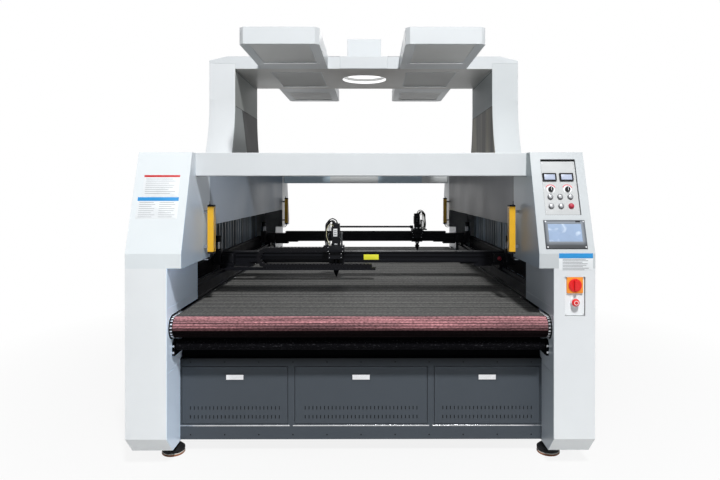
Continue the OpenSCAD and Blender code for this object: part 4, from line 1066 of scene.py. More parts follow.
def bezel_shade_tones(tree, where):
    """Painted shade: the frame darkens towards its rim and its foot.

    The tone follows the larger of the two distances from its middle, as shares of its half size.
    """
    middle, half = (bezel_low + bezel_high) / 2, (bezel_high - bezel_low) / 2
    shares = []
    for axis in (X_AXIS, Z_AXIS):
        size = float(half @ axis)
        reach = node(tree, "VectorMath", {0: where, 1: [a / size for a in axis]}, operation="DOT_PRODUCT")
        offset = maths(tree, "SUBTRACT", reach.outputs["Value"], float(middle @ axis) / size)
        shares.append(maths(tree, "ABSOLUTE", offset))
    frame_shade = ramp(tree, maths(tree, "MAXIMUM", *shares), 0.80, 0.98, WHITE, (0.26, 0.27, 0.28))
    return mixed(tree, past(tree, where, Z_AXIS, bezel_low[2] + 0.030, 0.012), (0.12, 0.12, 0.12), frame_shade)


toned(bezel_grey, bezel_shade_tones)
pane = soft_plate(0.176, 0.096, 0.0022, 0.002, 0.0006)
piece("screen_pane", placed(pane, lean_point(1.0775, 0.112, 0.0040), ON_LEAN), screen_film, "bezel_grey")
frame_screws = [lean_point(1.079 + sx * 0.100, 0.104 + sy * 0.069, 0.0058) for sx, sy in grid(BOTH, BOTH)]
piece("screen_screws", repeated(screw(0.0042, 0.0016), frame_screws, ON_LEAN), bright_steel, "cap_silver")
badge = soft_plate(0.026, 0.007, 0.0008, 0.0015, 0.0003)
piece("screen_badge", placed(badge, lean_point(1.1495, 0.172, 0.0056), ON_LEAN),
      black_plastic, "black_plastic")
print("screen and its four screws")

# %% [markdown]
# ## Meters, dials and buttons
#
# Two digital meters sit above two potentiometers and six push buttons. The
# meter windows are thin plates. Each dial has a red arc that shows the range,
# which is a flat strip carried along part of a circle. Chrome caps are low
# domes, each riding on its own button so that it goes in with it.

# %% Meters and dials
fit_low = -0.009
knob_xs = {"left": 1.030, "right": 1.121}
knob_v = 0.358
window = soft_plate(0.058, 0.030, 0.0012, 0.001, 0.0004)
piece("meter_windows", repeated(window, [lean_point(x, 0.426) for x in (1.029, 1.121)], ON_LEAN),
      display_grey, "bezel_grey")
sweep = np.radians(np.linspace(25, 150, 36))
dial_r = 0.0275
circle = np.stack([dial_r * np.cos(sweep), dial_r * np.sin(sweep), np.zeros(36)], -1)
dial_arc = along(circle, np.array([[0.0, -0.0022], [0.0009, -0.0022], [0.0009, 0.0022], [0.0, 0.0022]]))
dial_plate = ring_turned([(0.0142, 0.0), (0.0228, 0.0), (0.0228, 0.0010), (0.0142, 0.0013)], 40)
knob_places = [lean_point(x, knob_v, fit_low) for x in knob_xs.values()]
arc_places = [lean_point(x, knob_v - 0.002, fit_low) for x in knob_xs.values()]
piece("dial_plates", repeated(dial_plate, knob_places, ON_LEAN), plain_white, "cover_white")
piece("dial_arcs", repeated(dial_arc, arc_places, ON_LEAN), dial_red, "switch_red")
mark = soft_plate(0.0022, 0.020, 0.0006, 0.0008, 0.0002)
for side, x in knob_xs.items():
    piece("knob_mark_" + side, placed(mark, lean_point(x, knob_v, fit_low + 0.0149), ON_LEAN),
          plain_white, "cap_silver", "knob_" + side)
print("two meters and two dials")

# %% Button caps
dome = turned([(0.0, 0.0), (0.0108, 0.0), (0.0109, 0.0009), (0.0100, 0.0020), (0.0078, 0.0030),
               (0.0050, 0.0037), (0.0024, 0.0040), (0.0, 0.0041)], 28)
collar = ring_turned([(0.0114, 0.0), (0.0152, 0.0), (0.0152, 0.0042), (0.0142, 0.0060), (0.0122, 0.0062),
                      (0.0114, 0.0052)], 28)
collar_places = []
for row, v in (("upper", 0.315), ("lower", 0.263)):
    for side, x in (("left", 1.023), ("middle", 1.076), ("right", 1.131)):
        look = (rose_red, "switch_red") if (row, side) == ("lower", "right") else (chrome, "cap_silver")
        piece(f"cap_{row}_{side}", placed(dome, lean_point(x, v, fit_low + 0.0094), ON_LEAN),
              *look, f"button_{row}_{side}")
        collar_places.append(lean_point(x, v, fit_low))
# Painted shade: dark chrome collars round the five chrome caps.
piece("button_collars", repeated(collar, collar_places[:5], ON_LEAN), shaded_chrome, "cap_silver")
piece("rose_collar", repeated(collar, collar_places[5:], ON_LEAN), rose_red, "switch_red")
plate_screws = [lean_point(1.082 + sx * 0.086, v, fit_low) for sx, v in grid(BOTH, (0.232, 0.366, 0.508))]
piece("panel_screws", repeated(screw(0.0032, 0.0015), plate_screws, ON_LEAN), steel, "cap_silver")
print("six chrome caps and their collars")

# %% Gaskets round the two pockets, with a painted shadow along the top of one
def gasket(width, height, thick, depth):
    """A closed frame: a small rectangle carried round the outline, as two loops joined inside and out."""
    outer = rounded_outline(width, height, 0.002, 3)
    inner = drawn_in(outer, thick)
    n = len(outer)
    rings = [np.c_[o, np.full(n, z)] for o, z in ((outer, 0.0), (outer, depth), (inner, depth), (inner, 0.0))]
    back = [[3 * n + i, 3 * n + (i + 1) % n, (i + 1) % n, i] for i in range(n)]
    return np.concatenate(rings), ring_faces(4, n) + back


# Painted shadow: round the control pocket the black gasket also stands in for the shadow line at the pocket's
# edge, and a wider black strip along its top is painted shadow.
pocket_seals_and_shadow = [placed(gasket(0.1898, 0.3178, 0.0022, 0.0012), lean_point(1.082, 0.371, fit_low), ON_LEAN),
                placed(soft_plate(0.1850, 0.0075, 0.0012, 0.001, 0.0004), lean_point(1.082, 0.5240, fit_low),
                       ON_LEAN)]
pocket_x, pocket_y = 1.119, front_y + 0.009
piece("pocket_gasket_and_shadow", joined(pocket_seals_and_shadow), black_rubber, "black_rubber")
switch_seal = gasket(0.1058, 0.2038, 0.0018, 0.0012)
piece("switch_gasket", placed(switch_seal, (pocket_x, pocket_y, 0.906), FACING_FRONT),
      black_rubber, "black_rubber")
print("gaskets in both pockets")

# %% [markdown]
# ## Main switch
#
# The isolator has a square orange base so that it stands out, and its red
# handle turns on it. The base is a shallow cap with rounded edges over the
# CAD boss. Under it, the stop button's mushroom carries a white ring.

# %% Isolator base and stop ring
isolator_z = 0.965
base_cap = soft_plate(0.0848, 0.0848, 0.0084, 0.004, 0.0016)
piece("isolator_base", placed(base_cap, (pocket_x, pocket_y, isolator_z), FACING_FRONT),
      isolator_yellow, "isolator_yellow")
stop_ring = ring_turned([(0.0090, 0.0196), (0.0118, 0.0196), (0.0118, 0.0204), (0.0090, 0.0204)], 28)
piece("stop_ring", placed(stop_ring, (pocket_x, front_y, 0.876), FACING_FRONT),
      plain_white, "cover_white", "stop_button")
switch_screws = [(pocket_x + sx * 0.046, pocket_y, z) for sx, z in grid(BOTH, (0.812, 1.000))]
piece("switch_screws", repeated(screw(0.0030, 0.0014), switch_screws, FACING_FRONT), steel, "cap_silver")
grip_disc = ring_turned([(0.0200, 0.0062), (0.0345, 0.0062), (0.0345, 0.0096), (0.0330, 0.0112),
                         (0.0200, 0.0112)], 40)
piece("isolator_disc", placed(grip_disc, (pocket_x, front_y + 0.0068, isolator_z), FACING_FRONT),
      signal_red, "switch_red", "isolator_handle")
print("isolator and stop button")

# %% [markdown]
# ## Plain cards
#
# Working instructions hang on both front towers. Nothing is printed on them
# here but a colour bar and plain lines, so they are thin plates with thinner
# plates on top, laid out as rows.

# %% Cards on the towers
def row_lines(width, rows, pitch, thick=0.0016):
    """Plain lines in place of writing: thin plates whose lengths vary with the sine of the row's number."""
    lengths = [width * (0.86 + 0.12 * math.sin(2.3 * k)) for k in range(rows)]
    return joined([placed(soft_plate(length, thick, 0.0004, 0.0003, 0.0001),
                          ((length - width) / 2, -k * pitch, 0.0)) for k, length in enumerate(lengths)])


def on_card(x, dz, proud=0.0005):
    """A place on the small card under the screen, dz above its middle."""
    return x, front_y - proud, 1.0870 + dz


card_x, rules_x, steps_x = 1.1235, -1.0795, -1.0860
bar_edge, card_edge = (0.0004, 0.001, 0.0001), (0.0005, 0.003, 0.0002)
cards = (
    ("notice_card", soft_plate(0.178, 0.090, 0.0005, 0.002, 0.0002), on_card(card_x, 0, 0), FACING_FRONT,
     card_white, "cover_white"),
    ("notice_bar", soft_plate(0.177, 0.026, *bar_edge), on_card(card_x, 0.032), FACING_FRONT,
     print_blue, "bezel_grey"),
    ("notice_lines", row_lines(0.140, 8, 0.0078, 0.0026), on_card(card_x, 0.014), FACING_FRONT,
     print_grey, "black_plastic"),
    ("rules_card", soft_plate(0.194, 0.125, *card_edge), lean_point(rules_x, 0.3755), ON_LEAN,
     card_white, "cover_white"),
    ("steps_card", soft_plate(0.220, 0.122, *card_edge), lean_point(steps_x, 0.250), ON_LEAN,
     card_white, "cover_white"),
    ("rules_bar", soft_plate(0.194, 0.012, *bar_edge), lean_point(rules_x, 0.431, 0.0005), ON_LEAN,
     print_red, "switch_red"),
    ("steps_bar", soft_plate(0.220, 0.021, *bar_edge), lean_point(steps_x, 0.300, 0.0005), ON_LEAN,
     print_blue, "bezel_grey"),
)
for name, shape, place, turn, look, slot_name in cards:
    piece(name, placed(shape, place, turn), look, slot_name)
columns = [(0.168, 0.0118, rules_x, 0.414), (0.090, 0.0115, -1.139, 0.281), (0.090, 0.0115, -1.032, 0.281)]
piece("card_lines", joined([placed(row_lines(width, 8, pitch), lean_point(x, v, 0.0005), ON_LEAN)
                            for width, pitch, x, v in columns]), print_grey, "black_plastic")
print("three plain cards")

# %% [markdown]
# ## Doors
#
# Behind the vent slots of each door lies a black dust filter, so the slots
# look dark. A stainless sill runs under each door, and each latch sits in a
# frame of the door's own grey.

# %% Door details
rim = gasket(0.1080, 0.0400, 0.0045, 0.0014)
sills = []
for side, filter_width, latch_x in (("left", 0.560, -0.704), ("middle", 0.700, 0.0), ("right", 0.560, 0.704)):
    door = "door_" + side
    low, high = span(door)
    middle = (low[0] + high[0]) / 2
    filter_pad = soft_plate(filter_width, 0.086, 0.003, 0.004, 0.001)
    piece("dust_filter_" + side, placed(filter_pad, (middle, low[1] + 0.0068, 0.222), FACING_FRONT),
          black_rubber, "black_rubber", door)
    piece("latch_frame_" + side, placed(rim, (latch_x, low[1], 0.418), FACING_FRONT),
          door_paint, "cabinet_grey", door)
    sills.append(placed(soft_plate(high[0] - low[0] + 0.004, 0.006, 0.0016, 0.001, 0.0005),
                        (middle, low[1], 0.1485), FACING_FRONT))
piece("door_sills", joined(sills), steel, "roller_steel")
print("filters, latch frames and sills on three doors")

# %% [markdown]
# ## Feet
#
# Each levelling foot is a black iron bell on an orange-brown rubber ring,
# with a pale band between them. The CAD solid has that shape already, and
# its finish changes with the height. A nut is added on top.

# %% Nuts on the feet
foot_places = [(sx * 1.045, y, 0.0622) for sx, y in grid(BOTH, (-1.750, 0.0, 1.750))]
piece("foot_nuts", repeated(hexagon(0.036, 0.0085), foot_places), steel, "roller_steel")
print("six feet")

# %% [markdown]
# ## Energy chains
#
# An energy chain is a row of open links that carries the cables of a moving
# head. One end is fixed to the beam and the other to the head, so when the
# head moves by some distance, the bend between the two runs moves by half of
# it. Each chain is built as three pieces, the upper run, the bend and the lower
# run, each with two ends along X and a height worked out beside it, the bend's
# ends far away on both sides. The pieces are not attached to a body, so they
# stay where they are built. Every link is a pair of side plates and two
# crossbars.

# %% One link of a chain
def chain_link(pitch, width, height):
    """A link about its middle: X along the chain, Y across it, Z out of the run.

    Two side plates with round ends stand across Y, and two thin bars join them above and below.
    """
    across = axes((1, 0, 0), (0, 1, 0))
    bar_high = height / 2 - 0.0022
    side = stack(rounded_outline(pitch * 1.16, height, height * 0.32, 4),
                 [(0, 0.0006), (0.0006, 0), (0.0029, 0), (0.0035, 0.0006)])
    bar = soft_plate(pitch * 0.52, width - 0.004, 0.0022, 0.001, 0.0006)
    pin = turned([(0.0, 0.0), (height * 0.17, 0.0), (height * 0.17, 0.0012), (0.0, 0.0012)], 10)
    shapes = [placed(side, (0, y, 0), across) for y in (-width / 2, width / 2 - 0.0035)]
    shapes += [placed(bar, (0, 0, bar_high)), placed(bar, (0, 0, -bar_high), FACING_DOWN)]
    shapes += [placed(pin, (pitch / 2, y, 0), across)
               for y in (-width / 2 - 0.0004, width / 2 + 0.0004 - 0.0012)]
    return joined(shapes)


def straight_run(x0, x1, y, z, pitch, width, height):
    """Links side by side from x0 to x1, with the pitch changed a little so that they fill the run."""
    count = max(1, round((x1 - x0) / pitch))
    step = (x1 - x0) / count
    places = [(x0 + (i + 0.5) * step, y, z) for i in range(count)]
    return repeated(chain_link(step, width, height), places)


def bend_run(x0, y, z, radius, pitch, width, height):
    """Links round the bend: link i sits at the angle 90 + (i + 1/2) 180 / n degrees, square to the radius."""
    count = round(math.pi * radius / pitch)
    link = chain_link(pitch * 0.96, width, height)
    shapes = []
    for i in range(count):
        a = math.radians(90 + (i + 0.5) * 180 / count)
        out = np.array([math.cos(a), 0, math.sin(a)])
        place = (x0 + radius * out[0], y, z + radius * out[2])
        shapes.append(placed(link, place, axes((-out[2], 0, out[0]), out)))
    return joined(shapes)


print("a link has", len(chain_link(0.027, 0.058, 0.03)[1]), "faces")

# %% Both chains
def nozzle_axis(side):
    """X and Y of a nozzle's axis: the middle of its box."""
    low, high = span(side + "_nozzle")
    return (low[0] + high[0]) / 2, (low[1] + high[1]) / 2


link_pitch, fixed_x, far_away = 0.027, 0.060, 500
for side, bend_x, radius, width, height in (("front", -0.721, 0.061, 0.058, 0.030),
                                            ("rear", -0.330, 0.030, 0.040, 0.018)):
    gantry, head, chain = side + "_gantry", side + "_head", side + "_drag_chain"
    low, high = span(chain)
    y = (low[1] + high[1]) / 2
    z_low, z_high = low[2] + height / 2, high[2] - height / 2
    head_x = high[0] if side == "rear" else float(nozzle_axis(side)[0]) - 0.067
    reach = head_x - bend_x
    link = (link_pitch, width, height)
    runs = (
        ("upper_run", straight_run(bend_x, head_x, y, z_high, *link), bend_x - reach, head_x, z_high),
        ("lower_run", straight_run(bend_x, fixed_x, y, z_low, *link), fixed_x, 2 * bend_x - fixed_x, z_low),
        ("bend", bend_run(bend_x, y, (z_low + z_high) / 2, radius, *link),
         bend_x - far_away, bend_x + far_away, z_low),
    )
    for part, shape, start_x, end_x, z in runs:
        run_piece = piece(f"{side}_chain_{part}", shape, black_plastic, "black_plastic", None)
        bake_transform(run_piece)
        if part == "upper_run":
            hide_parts(chain)
    clamp = soft_plate(0.040, width * 0.8, 0.003, 0.003, 0.001)
    piece(side + "_chain_anchor", placed(clamp, (fixed_x + 0.014, y, z_low - height / 2)),
          dark_roller, "roller_steel", gantry)
    print(side, "chain from", round(fixed_x, 3), "round", round(bend_x, 3), "to", round(head_x, 3))

# %% [markdown]
# ## Cutting heads
#
# Each head is a black motor over a base block, with the nozzle below. The
# CAD gives its masses. Here it gets a rounded cap, cooling ribs, a plain
# rating plate, a bright ring at the flange, screws, and the bundle of cables
# that arches from the motor down to the base. The rear head is the mirror
# image of the front one as far as the cables go, and its plate is dark.

# %% Head furniture
def at_head(side, x, y, z):
    """A place beside the nozzle's axis, x across and y along the machine, at a true height."""
    ax, ay = nozzle_axis(side)
    return (ax + x, ay + y, z)


motor_rib = soft_plate(0.0675, 0.0775, 0.0035, 0.004, 0.001)
flange_ring = ring_turned([(0.0306, 0), (0.0345, 0), (0.0352, 0.0015), (0.0352, 0.0105), (0.0345, 0.012),
                           (0.0306, 0.012)], 40)
rating_mark = soft_plate(0.020, 0.005, 0.0004, 0.0006, 0.0001)
head_shapes = (
    # name, shape, places beside the axis, turn, finish and slot
    ("motor_cap", soft_plate(0.0605, 0.0685, 0.0085, 0.010, 0.006), [(-0.0035, -0.0025, 1.2012)], UPRIGHT,
     dark_block, "black_anodised"),
    ("motor_ribs", motor_rib, [(-0.0045, -0.0025, 1.101 + 0.0125 * k) for k in range(7)], UPRIGHT,
     dark_block, "black_anodised"),
    ("flange_ring", flange_ring, [(-0.004, 0, 1.0462)], UPRIGHT, chrome, "roller_steel"),
    ("rating_plate", soft_plate(0.031, 0.058, 0.0012, 0.002, 0.0003), [(-0.0055, -0.0412, 1.142)],
     FACING_FRONT, plain_white, "cover_white"),
    ("rating_marks", rating_mark, [(-0.0055, -0.0424, z) for z in (1.128, 1.142, 1.156)], FACING_FRONT,
     print_grey, "black_plastic"),
    ("side_plate", soft_plate(0.0118, 0.098, 0.0016, 0.001, 0.0004), [(0.0415, -0.0240, 1.0925)],
     FACING_FRONT, bezel_grey, "bezel_grey"),
    ("base_cover", soft_plate(0.126, 0.046, 0.0022, 0.003, 0.0008), [(-0.002, -0.080, 1.0208)], FACING_FRONT,
     dark_block, "black_anodised"),
)
head_screws = (
    # head size, places and turn
    (screw(0.0032, 0.0024), [(x, -0.0822, z) for x, z in grid((-0.056, 0.052), (1.006, 1.036))],
     FACING_FRONT),
    (screw(0.0030, 0.0024), [(x, y, 1.0448) for x, y in grid((-0.045, 0.052), (-0.070, 0.006))], UPRIGHT),
    (screw(0.0030, 0.0022), [(x, -0.060, z) for x, z in grid((-0.048, 0.040), (0.956, 0.986))],
     FACING_FRONT),
)
clamp_knurl = ring_turned([(0.0196, 0), (0.0226, 0.001), (0.0230, 0.003), (0.0230, 0.013), (0.0226, 0.015),
                           (0.0196, 0.016)], 36)
nozzle_ring = ring_turned([(0.0150, 0), (0.0186, 0.001), (0.0196, 0.005), (0.0160, 0.006)], 36)
for side in ("front", "rear"):
    head = side + "_head"
    for name, shape, places, turn, look, slot_name in head_shapes:
        if name == "rating_plate" and side == "rear":
            look = dark_roller
        many = repeated(shape, [at_head(side, *place) for place in places], turn)
        piece(f"{side}_{name}", many, look, slot_name, head)
    screws = [repeated(shape, [at_head(side, *place) for place in places], turn)
              for shape, places, turn in head_screws]
    piece(side + "_head_screws", joined(screws), steel, "cap_silver", head)
    piece(side + "_clamp_ring", placed(clamp_knurl, at_head(side, 0, 0, 0.886)), steel, "roller_steel", head)
    piece(side + "_nozzle_ring", placed(nozzle_ring, at_head(side, 0, 0, 0.8380)),
          dark_roller, "black_anodised", side + "_nozzle")
print("two heads dressed")

# %% Cable bundles on the heads
cable_pale = moulded("cable_pale", (0.55, 0.52, 0.33), 0.45)
motor_leads = ((0.006, -0.018), (-0.022, -0.030), (-0.012, -0.006))
leads = {
    "pale_lead": (0.0024, cable_pale, [
        (-0.020, -0.044, 1.190), (-0.042, -0.052, 1.206), (-0.064, -0.058, 1.178),
        (-0.070, -0.062, 1.120), (-0.056, -0.066, 1.075), (-0.044, -0.070, 1.046)]),
    "power_lead": (0.0042, black_rubber, [
        (*motor_leads[0], 1.206), (0.000, -0.020, 1.232), (-0.030, -0.026, 1.246), (-0.062, -0.036, 1.222),
        (-0.076, -0.044, 1.160), (-0.080, -0.052, 1.090), (-0.072, -0.056, 1.046)]),
    "brake_lead": (0.0034, black_rubber, [
        (*motor_leads[1], 1.206), (-0.034, -0.034, 1.230), (-0.058, -0.046, 1.210),
        (-0.070, -0.056, 1.140), (-0.060, -0.062, 1.046)]),
    "encoder_lead": (0.0030, black_rubber, [
        (*motor_leads[2], 1.206), (-0.022, -0.006, 1.226), (-0.052, -0.014, 1.216),
        (-0.062, -0.022, 1.150), (-0.066, -0.030, 1.046)]),
    "air_hose": (0.0028, bezel_grey, [
        (-0.037, -0.016, 1.130), (-0.052, -0.024, 1.136), (-0.060, -0.034, 1.110), (-0.058, -0.040, 1.046)]),
}
gland = turned([(0.0075, 0), (0.0075, 0.004), (0.0058, 0.005), (0.0058, 0.012), (0.0044, 0.013),
                (0.0, 0.013)], 20)


def beside(side, x, y, z):
    """A place beside the nozzle's axis, mirrored about the motor on the rear head."""
    return at_head(side, x if side == "front" else 0.006 - x, y, z)


for side in ("front", "rear"):
    for name, (radius, look, knots) in leads.items():
        lead = cable([beside(side, *knot) for knot in knots], radius)
        piece(f"{side}_{name}", lead, look, "black_rubber", side + "_head")
    glands = repeated(gland, [beside(side, x, y, 1.2085) for x, y in motor_leads])
    piece(side + "_cable_glands", glands, black_plastic, "black_plastic", side + "_head")
print("cables:", 2 * len(leads))

# %% [markdown]
# ## Gantry furniture
#
# The beams carry a rail with countersunk screws, a bare yellow tag, and at
# each end a carriage whose motor stands upright behind a stack of coupling
# rings. The coupling is a turned profile whose radius is a cosine of the
# height.

# %% Rail screws and tag
tag_yellow = moulded("tag_yellow", (0.95, 0.92, 0.05), 0.45)
cover_x, cover_z, motor_x, plate_z = 1.0315, 0.942, 1.110, 0.962
rail_screw = turned([(0.0, 0.0), (0.0036, 0.0), (0.0034, 0.0004), (0.0, 0.0004)], 12)
waves = [(0.0262 + 0.0022 * math.cos(12 * math.pi * t), 0.002 + 0.050 * t) for t in np.linspace(0, 1, 25)]
bellows = ring_turned([(0.0228, 0.0)] + waves + [(0.0228, 0.054)], 28)
drive_cap = turned([(0.0218, 0.0), (0.0228, 0.001), (0.0228, 0.012), (0.0200, 0.016), (0.008, 0.017),
                    (0.0, 0.017)], 28)
low_cover = soft_plate(0.084, 0.066, 0.003, 0.006, 0.0015)
tall_cover = soft_plate(0.050, 0.096, 0.003, 0.005, 0.0015)
for side in ("front", "rear"):
    gantry = side + "_gantry"
    beam_y = float(nozzle_axis(side)[1]) + 0.051
    rail_places = [(x, beam_y - 0.010, 0.9185) for x in np.arange(-0.84, 0.841, 0.06)]
    covers = [repeated(low_cover, [(sx * cover_x, beam_y - 0.042, cover_z) for sx in BOTH], FACING_FRONT),
              repeated(tall_cover, [(sx * motor_x, beam_y - 0.050, plate_z) for sx in BOTH], FACING_FRONT)]
    spots = [(sx * cover_x + dx, beam_y - 0.045, cover_z + dz)
             for sx in BOTH for dx, dz in grid((-0.036, 0.036), (-0.027, 0.027))]
    spots += [(sx * motor_x + dx, beam_y - 0.053, plate_z + dz)
              for sx in BOTH for dx, dz in grid((-0.019, 0.019), (-0.042, 0.042))]
    for name, shape, look, slot_name in (
            ("rail_screws", repeated(rail_screw, rail_places, FACING_FRONT), dark_roller, "black_anodised"),
            ("couplings", repeated(bellows, [(sx * motor_x, beam_y - 0.025, 1.0155) for sx in BOTH]),
             chrome, "roller_steel"),
            ("drive_caps", repeated(drive_cap, [(sx * motor_x, beam_y - 0.025, 1.0985) for sx in BOTH]),
             dark_block, "black_anodised"),
            ("carriage_covers", joined(covers), dark_block, "black_anodised"),
            ("carriage_screws", repeated(screw(0.0028, 0.0022), spots, FACING_FRONT),
             chrome, "roller_steel")):
        piece(f"{side}_{name}", shape, look, slot_name, gantry)
front_beam_y = float(nozzle_axis("front")[1]) + 0.051
tag = soft_plate(0.115, 0.040, 0.0007, 0.001, 0.0002)
piece("beam_tag", placed(tag, (0.058, front_beam_y, 0.947), FACING_FRONT),
      tag_yellow, "curtain_yellow", "front_gantry")
release = turned([(0.006, 0.0), (0.006, 0.010), (0.014, 0.012), (0.016, 0.017), (0.013, 0.023),
                  (0.0, 0.025)], 28)
piece("axis_release_knob", placed(release, (cover_x, front_beam_y - 0.045, cover_z), FACING_FRONT),
      rose_red, "switch_red", "front_gantry")
print("gantries dressed")

# %% [markdown]
# ## The arch seen from below
#
# Most of what shows of the arch is its underside: six lamp windows with a
# painted trim round each and a bright strip along the far edge that holds the
# plate, and the round opening through which the camera looks down. A white
# band that glows, though it is no lamp, lines that opening as painted light.
# The legs' inner sheets are folded along a crease and joined at a seam, which
# show as thin dark lines.

# %% Blocks
def block(low, high, edge=0.001):
    """A box between two corners whose upright edges are round and whose other edges are broken by edge."""
    low, high = np.asarray(low, float), np.asarray(high, float)
    w, h, t = high - low
    e = min(edge, w / 3, h / 3, t / 3)
    shape = stack(rounded_outline(w, h, e, 3), [(0, e), (e, 0), (t - e, 0), (t, e)])
    middle = (low + high) / 2
    return placed(shape, (middle[0], middle[1], low[2]))


def both_sides(places):
    """The places given and their mirror images in x."""
    places = np.asarray(places, float)
    return np.concatenate([places, places * [-1, 1, 1]])


arch_z = span("arch_crossbeam")[0][2]
print("the arch's underside is at", round(arch_z, 3))

# %% Lamp trims
lamp_x0, lamp_x1 = 0.350, 0.745
lamp_mid, lamp_wide = (lamp_x0 + lamp_x1) / 2, lamp_x1 - lamp_x0
sheet_screw = screw(0.0050, 0.0022)
trims, strips, corners = [], [], []
for y0, y1 in ((-1.190, -0.660), (-0.299, 0.307), (0.656, 1.082)):
    trim = gasket(lamp_wide + 0.010, y1 - y0 + 0.010, 0.007, 0.0014)
    for sx in BOTH:
        trims.append(placed(trim, (sx * lamp_mid, (y0 + y1) / 2, arch_z), FACING_DOWN))
        strips.append(block((sx * lamp_mid - lamp_wide / 2, y1 + 0.001, arch_z - 0.0055),
                            (sx * lamp_mid + lamp_wide / 2, y1 + 0.011, arch_z), 0.0008))
    corners += [(x, y, arch_z) for x, y in grid((lamp_x0 - 0.016, lamp_x1 + 0.016), (y0 - 0.014, y1 + 0.014))]
piece("lamp_trims", joined(trims), beam_shaded_paint, "cover_white")
piece("lamp_strips", joined(strips), bright_steel, "cap_silver")
piece("lamp_screws", repeated(sheet_screw, both_sides(corners), FACING_DOWN), bright_steel, "cap_silver")
print("six lamp trims,", 2 * len(corners), "screws")

# %% A glowing band round the opening, painted light
opening_r = 0.1880
# Painted light: this white glows though no lamp is there, so the inside of the opening looks bright.
glowing_white = moulded("glowing_white", (0.88, 0.89, 0.90), 0.5)
for entry, value in (("Emission Color", (*WHITE, 1.0)), ("Emission Strength", 0.75)):
    glowing_white.node_tree.nodes["Principled BSDF"].inputs[entry].default_value = value


def wall_band(z0, z1):
    """A short tube just inside the opening, from height z0 to z1 above the arch's underside."""
    r0, r1 = opening_r - 0.0006, opening_r - 0.0030
    return ring_turned([(r0, z0), (r0, z1), (r1, z1), (r1, z0)], 72)


shelf = ring_turned([(0.1850, 0.0575), (0.1850, 0.0600), (0.1120, 0.0600), (0.1120, 0.0575)], 72)
bands = joined([wall_band(0.0005, 0.0210), wall_band(0.0450, 0.0570), shelf])
piece("aperture_glow", placed(bands, (0, 0, arch_z)), glowing_white, "cover_white")
piece("aperture_grey_band", placed(wall_band(0.0212, 0.0448), (0, 0, arch_z)), opal, "opal_diffuser")
lens_glass = finish("lens_glass", (0.010, 0.014, 0.030), 0.08, cloud=(20.0, 0.05), grain=(400.0, 0.01),
                    coat=0.5)
lens = turned([(0.0, 0.0), (0.029, 0.0), (0.029, 0.0012), (0.024, 0.0032), (0.014, 0.0046),
               (0.0, 0.0052)], 40)
piece("camera_lens", placed(lens, (0, 0, span("scan_camera")[0][2]), FACING_DOWN),
      lens_glass, "black_plastic")
print("ring light and lens")

# %% Crease and seam of the legs
seam_dark = moulded("seam_dark", (0.030, 0.031, 0.033), 0.7)
leg_x, seam_half, seam_proud = 1.013, 0.0015, 0.0006
leg_strips = []
for reach, z in ((0.424, 2.126), (0.430, 2.402)):
    low, high = z - seam_half, z + seam_half
    flat = np.array([(-reach, low), (reach, low), (reach, high), (-reach, high)])
    points = np.concatenate([np.c_[np.full(4, x), flat] for x in (0.0, -seam_proud)])
    faces = [[3, 2, 1, 0], [4, 5, 6, 7]] + [[k, (k + 1) % 4, (k + 1) % 4 + 4, k + 4] for k in range(4)]
    leg_strips.append((points + [leg_x, 0, 0], faces))
    leg_strips.append((points * [-1, 1, 1] - [leg_x, 0, 0], [f[::-1] for f in faces]))
piece("leg_seams", joined(leg_strips), seam_dark, "black_plastic")
print("leg seams:", len(leg_strips))

# %% Screws on top of the arch
lid_z, roof_z = span("light_boxes")[1][2], span("arch_crossbeam")[1][2]
roof = [(x, y, roof_z) for x, y in grid((0.20, 0.86, 0.98), (-0.41, 0.41))]
roof += [(x, y, lid_z) for x, y in grid((0.305, 0.545, 0.786), (-1.165, -0.82, -0.47, 0.47, 0.82, 1.160))]
piece("roof_screws", repeated(sheet_screw, both_sides(roof)), steel, "roller_steel")
print("roof screws:", 2 * len(roof))

# %% [markdown]
# ## Inside the side walls
#
# A slotted wiring duct runs along the foot of each pleated sheet, clear of
# the carriages. Its fingers are one small block repeated. The four light
# curtains get a dark lens in their slot and a short lead on top.

# %% Wiring ducts
duct_x0, duct_x1, duct_z0, duct_z1 = 1.158, 1.192, 0.835, 0.955
fingers = np.arange(-1.385, 1.386, 0.020)
duct_shapes = []
for sx in BOTH:
    x0, x1 = sorted((sx * duct_x0, sx * duct_x1))
    f0, f1 = sorted((sx * duct_x0, sx * (duct_x0 + 0.006)))
    finger = block((f0, -0.006, duct_z0 + 0.018), (f1, 0.006, duct_z1 - 0.014), 0.001)
    duct_shapes += [block((x0 + 0.004, -1.400, duct_z0), (x1 - 0.004, 1.400, duct_z1 - 0.006), 0.002),
                    block((x0, -1.402, duct_z1 - 0.014), (x1, 1.402, duct_z1), 0.003),
                    repeated(finger, [(0, y, 0) for y in fingers])]
piece("wiring_ducts", joined(duct_shapes), black_plastic, "black_plastic")
print("duct fingers:", 2 * len(fingers))

